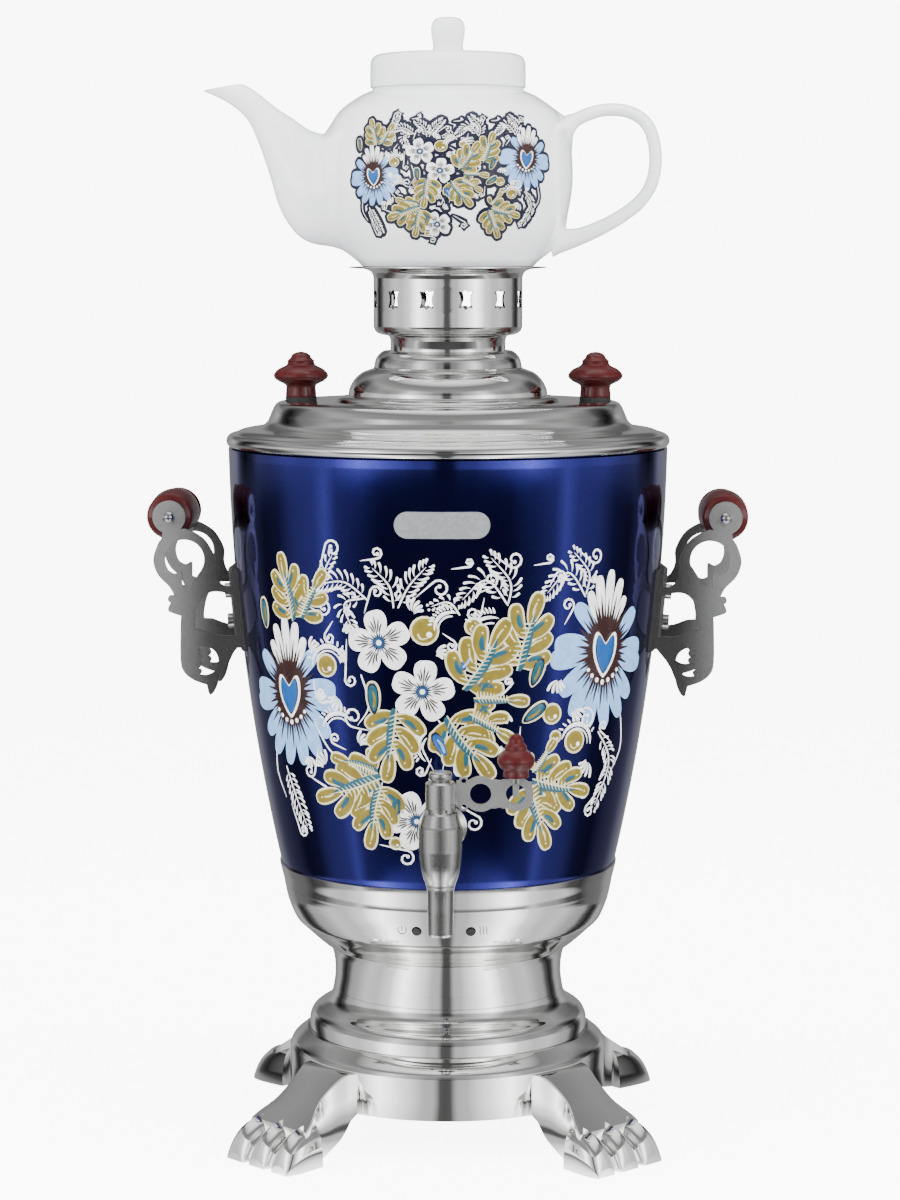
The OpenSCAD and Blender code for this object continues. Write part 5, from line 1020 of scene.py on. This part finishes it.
FLOWERS = bouquet()
MIDDLE_Z = 225.0
painted("tank_painting", FLOWERS, lambda z: radius(tank_line, z + MIDDLE_Z), MIDDLE_Z, "samovar", "blue_enamel")
painted("pot_painting", FLOWERS, lambda z: radius(pot_out, z), CROWN_TOP, "teapot", "porcelain",
        size=0.46, at=2+44j, halo=1.7, step=0.02, flat=0.86)

# Two small signs beside the lamps: a broken ring with a stroke, and three waves
MARK_Z = 110
RING_AT = -19.5 + 1j * MARK_Z
MARKS = dab("grey", [RING_AT + ray(2.1, d) for d in np.linspace(130, 410, 12)], 0.45, 0.05, 0.05, 2)
MARKS += dab("grey", [RING_AT - 0.2j, RING_AT + 2.4j], 0.5, 0.05, 0.05, 2)
wave = np.linspace(-2.1, 2.1, 12)
for k in (-1, 0, 1):
    MARKS += dab("grey", 18.5 + 1.5 * k + 0.35 * np.sin(3 * wave) + 1j * (MARK_Z + wave), 0.45, 0.05, 0.05, 2)
painted("bowl_marks", MARKS, lambda z: radius(bowl_line, z), 0.0, "samovar", "polished_steel")

# ---- Studio ----

WHITE = (1, 1, 1, 1)
PALE = 9.0  # brightness of what the camera sees of the room
SCREEN_R, SCREEN_H = 0.17, 0.066
TABLE_NEAR = 0.35  # what bands() takes as near for the table and the low screen
# Brightness by the angle from the front, as mirrored by the chrome and by the tank
CHROME_BANDS = [(0, 0.10), (3.5, 0.12), (8, 0.70), (15, 0.78), (30, 2.0), (45, 4.2), (60, 1.4), (75, 0.85), (90, 0.95),
                (105, 0.55), (115, 0.45), (122, 0.12), (130, 0.02), (136, 0.08), (145, 0.5), (160, 0.3), (180, 0.3)]
TANK_BANDS = [(0, 0.09), (34, 0.08), (48, 0.22), (59, 0.40), (66, 1.1), (73, 0.60), (88, 0.42), (99, 0.12), (112, 0.06),
              (122, 0.16), (140, 0.20), (150, 0.35), (180, 0.4)]


def bands(g, x, y, stops, near=0.0):
    """Brightness of the studio by the angle from the front, the same on both sides.

    On surfaces close to the axis each angle a falls back by the arc sine of near * sin(a / 2)."""
    turn = g.maths("ARCTAN2", x, g.maths("MULTIPLY", y, -1.0))
    share = g.maths("DIVIDE", g.maths("ABSOLUTE", turn), math.pi)
    return g.ramp(share, [(a / 180 - math.asin(near * math.sin(math.radians(a / 2))) / math.pi, v) for a, v in stops])


def by_ray(g, camera, mirror, other):
    """What the camera, a mirror and every other ray meet."""
    rays = g.add("LightPath").node.outputs
    return g.add("MixShader", rays["Is Camera Ray"], g.add("MixShader", rays["Is Glossy Ray"], other, mirror), camera)


def staged(name, points, faces, surface, unseen_by=()):
    """A mesh of the stage; a function makes its surface."""
    mesh = bpy.data.meshes.new(name)
    mesh.from_pydata(points, [], faces)
    obj = placed(name, mesh)
    for ray_kind in unseen_by:
        setattr(obj, "visible_" + ray_kind, False)
    m = bpy.data.materials.new(surface.__name__)
    m.use_nodes = True
    m.node_tree.nodes.clear()
    g = Nodes(m.node_tree)
    place = g.add("TexCoord", out="Object")
    g.add("OutputMaterial", surface(g, place, *g.add("SeparateXYZ", place).node.outputs))
    mesh.materials.append(m)


def pale_floor(g, place, x, y, z):
    """Paper that fades into the room; in mirrors it glows in bands near the axis and isn't there further out."""
    reach = g.add("VectorMath", place, out="Value", operation="LENGTH")
    paper = g.add("BsdfDiffuse", (0.84, 0.845, 0.85, 1))
    close = g.add("AddShader", paper, g.add("Emission", WHITE, PALE - 1.15))
    fade = g.ramp(g.maths("DIVIDE", reach, 4.0), [(0.12, 0), (0.42, 1)])
    table = g.add("Emission", bands(g, x, y, CHROME_BANDS, TABLE_NEAR), 1.0)
    edge = g.ramp(reach, [(SCREEN_R, 0), (SCREEN_R + 0.02, 1)])
    mirrored = g.add("MixShader", edge, table, g.add("BsdfTransparent", WHITE))
    return by_ray(g, g.add("MixShader", fade, close, g.add("Emission", WHITE, PALE)), mirrored, paper)


def low_screen(g, place, x, y, z):
    """The same bands on an upright ring that ends softly at its top."""
    lit = g.add("Emission", bands(g, x, y, CHROME_BANDS, TABLE_NEAR), 1.0)
    fade = g.ramp(g.maths("DIVIDE", z, SCREEN_H), [(0.92, 0), (0.99, 1)])
    return g.add("MixShader", fade, lit, g.add("BsdfTransparent", WHITE))


def sky(g):
    """The room: bands round the axis, one set for mirrors and one for the tank's height, in tiers by height."""
    x, y, z = g.add("SeparateXYZ", g.add("TexCoord", out="Generated")).node.outputs
    height = g.maths("ADD", g.maths("DIVIDE", z, 2.0), 0.5)
    level = g.ramp(height, [(0.19, 1), (0.22, 0), (0.437, 0), (0.460, 1)])
    around = g.mix(level, bands(g, x, y, TANK_BANDS), bands(g, x, y, CHROME_BANDS))
    tiers = g.ramp(height, [(0.30, 0.9), (0.44, 1.0), (0.50, 1.0), (0.57, 1.0), (0.62, 0.40), (0.72, 0.45), (0.80, 0.9),
                            (0.90, 0.45), (0.97, 1.1)])
    above = g.ramp(height, [(0.74, 0.20), (0.80, 0.4), (0.90, 0.25), (0.95, 1.0), (0.99, 1.6)])
    high = g.mix(g.ramp(height, [(0.66, 0), (0.84, 1)]), g.mix(1, around, tiers, blend_type="MULTIPLY"), above)
    return by_ray(g, g.add("Background", WHITE, PALE), g.add("Background", high, 1.0),
                  g.add("Background", (0.98, 0.99, 1, 1), 1.25))


def studio():
    """A pale table in a light tent, with a dark gap in front and behind, and a low screen round the table's middle."""
    staged("floor", [(-9, -9, 0), (9, -9, 0), (9, 9, 0), (-9, 9, 0)], [(0, 1, 2, 3)], pale_floor)
    ring = skin(lathe(np.array([[SCREEN_R, 0], [SCREEN_R, SCREEN_H]]), 96))
    staged("low_screen", *(p.tolist() for p in ring), low_screen, ("camera", "diffuse", "shadow", "transmission"))
    for name, place, aim, size, power in (("left_box", (-1.55, -1.0, 1.1), 0.28, (1.2, 1.5), 62),
                                          ("right_box", (1.55, -1.0, 1.1), 0.28, (1.2, 1.5), 62),
                                          ("top_box", (0, -0.2, 2.2), 0.3, (1.6, 1.6), 46)):
        lamp = bpy.data.lights.new(name, "AREA")
        lamp.shape, lamp.energy = "RECTANGLE", power
        lamp.size, lamp.size_y = size
        o = placed(name, lamp)
        o.location = place
        o.rotation_euler = (Vector((0, 0, aim)) - Vector(place)).to_track_quat("-Z", "Y").to_euler()
        o.visible_glossy = False
    world = bpy.data.worlds.new("studio")
    bpy.context.scene.world = world
    world.use_nodes = True
    world.node_tree.nodes.clear()
    g = Nodes(world.node_tree)
    g.add("OutputWorld", sky(g))


studio()


def camera(distance=1.5, height=0.4215):
    """A little to the right of the front, looking 6.3 degrees down."""
    az, down = math.radians(1.5), math.atan(350 / 3150)
    cam = bpy.data.cameras.new("camera")
    cam.lens, cam.sensor_width, cam.shift_x = 94.5, 36.0, 2 / 1200
    o = placed("camera", cam)
    o.location = (distance * math.sin(az), -distance * math.cos(az), height)
    o.rotation_euler = (math.pi / 2 - down, 0, az)
    bpy.context.scene.camera = o


camera()

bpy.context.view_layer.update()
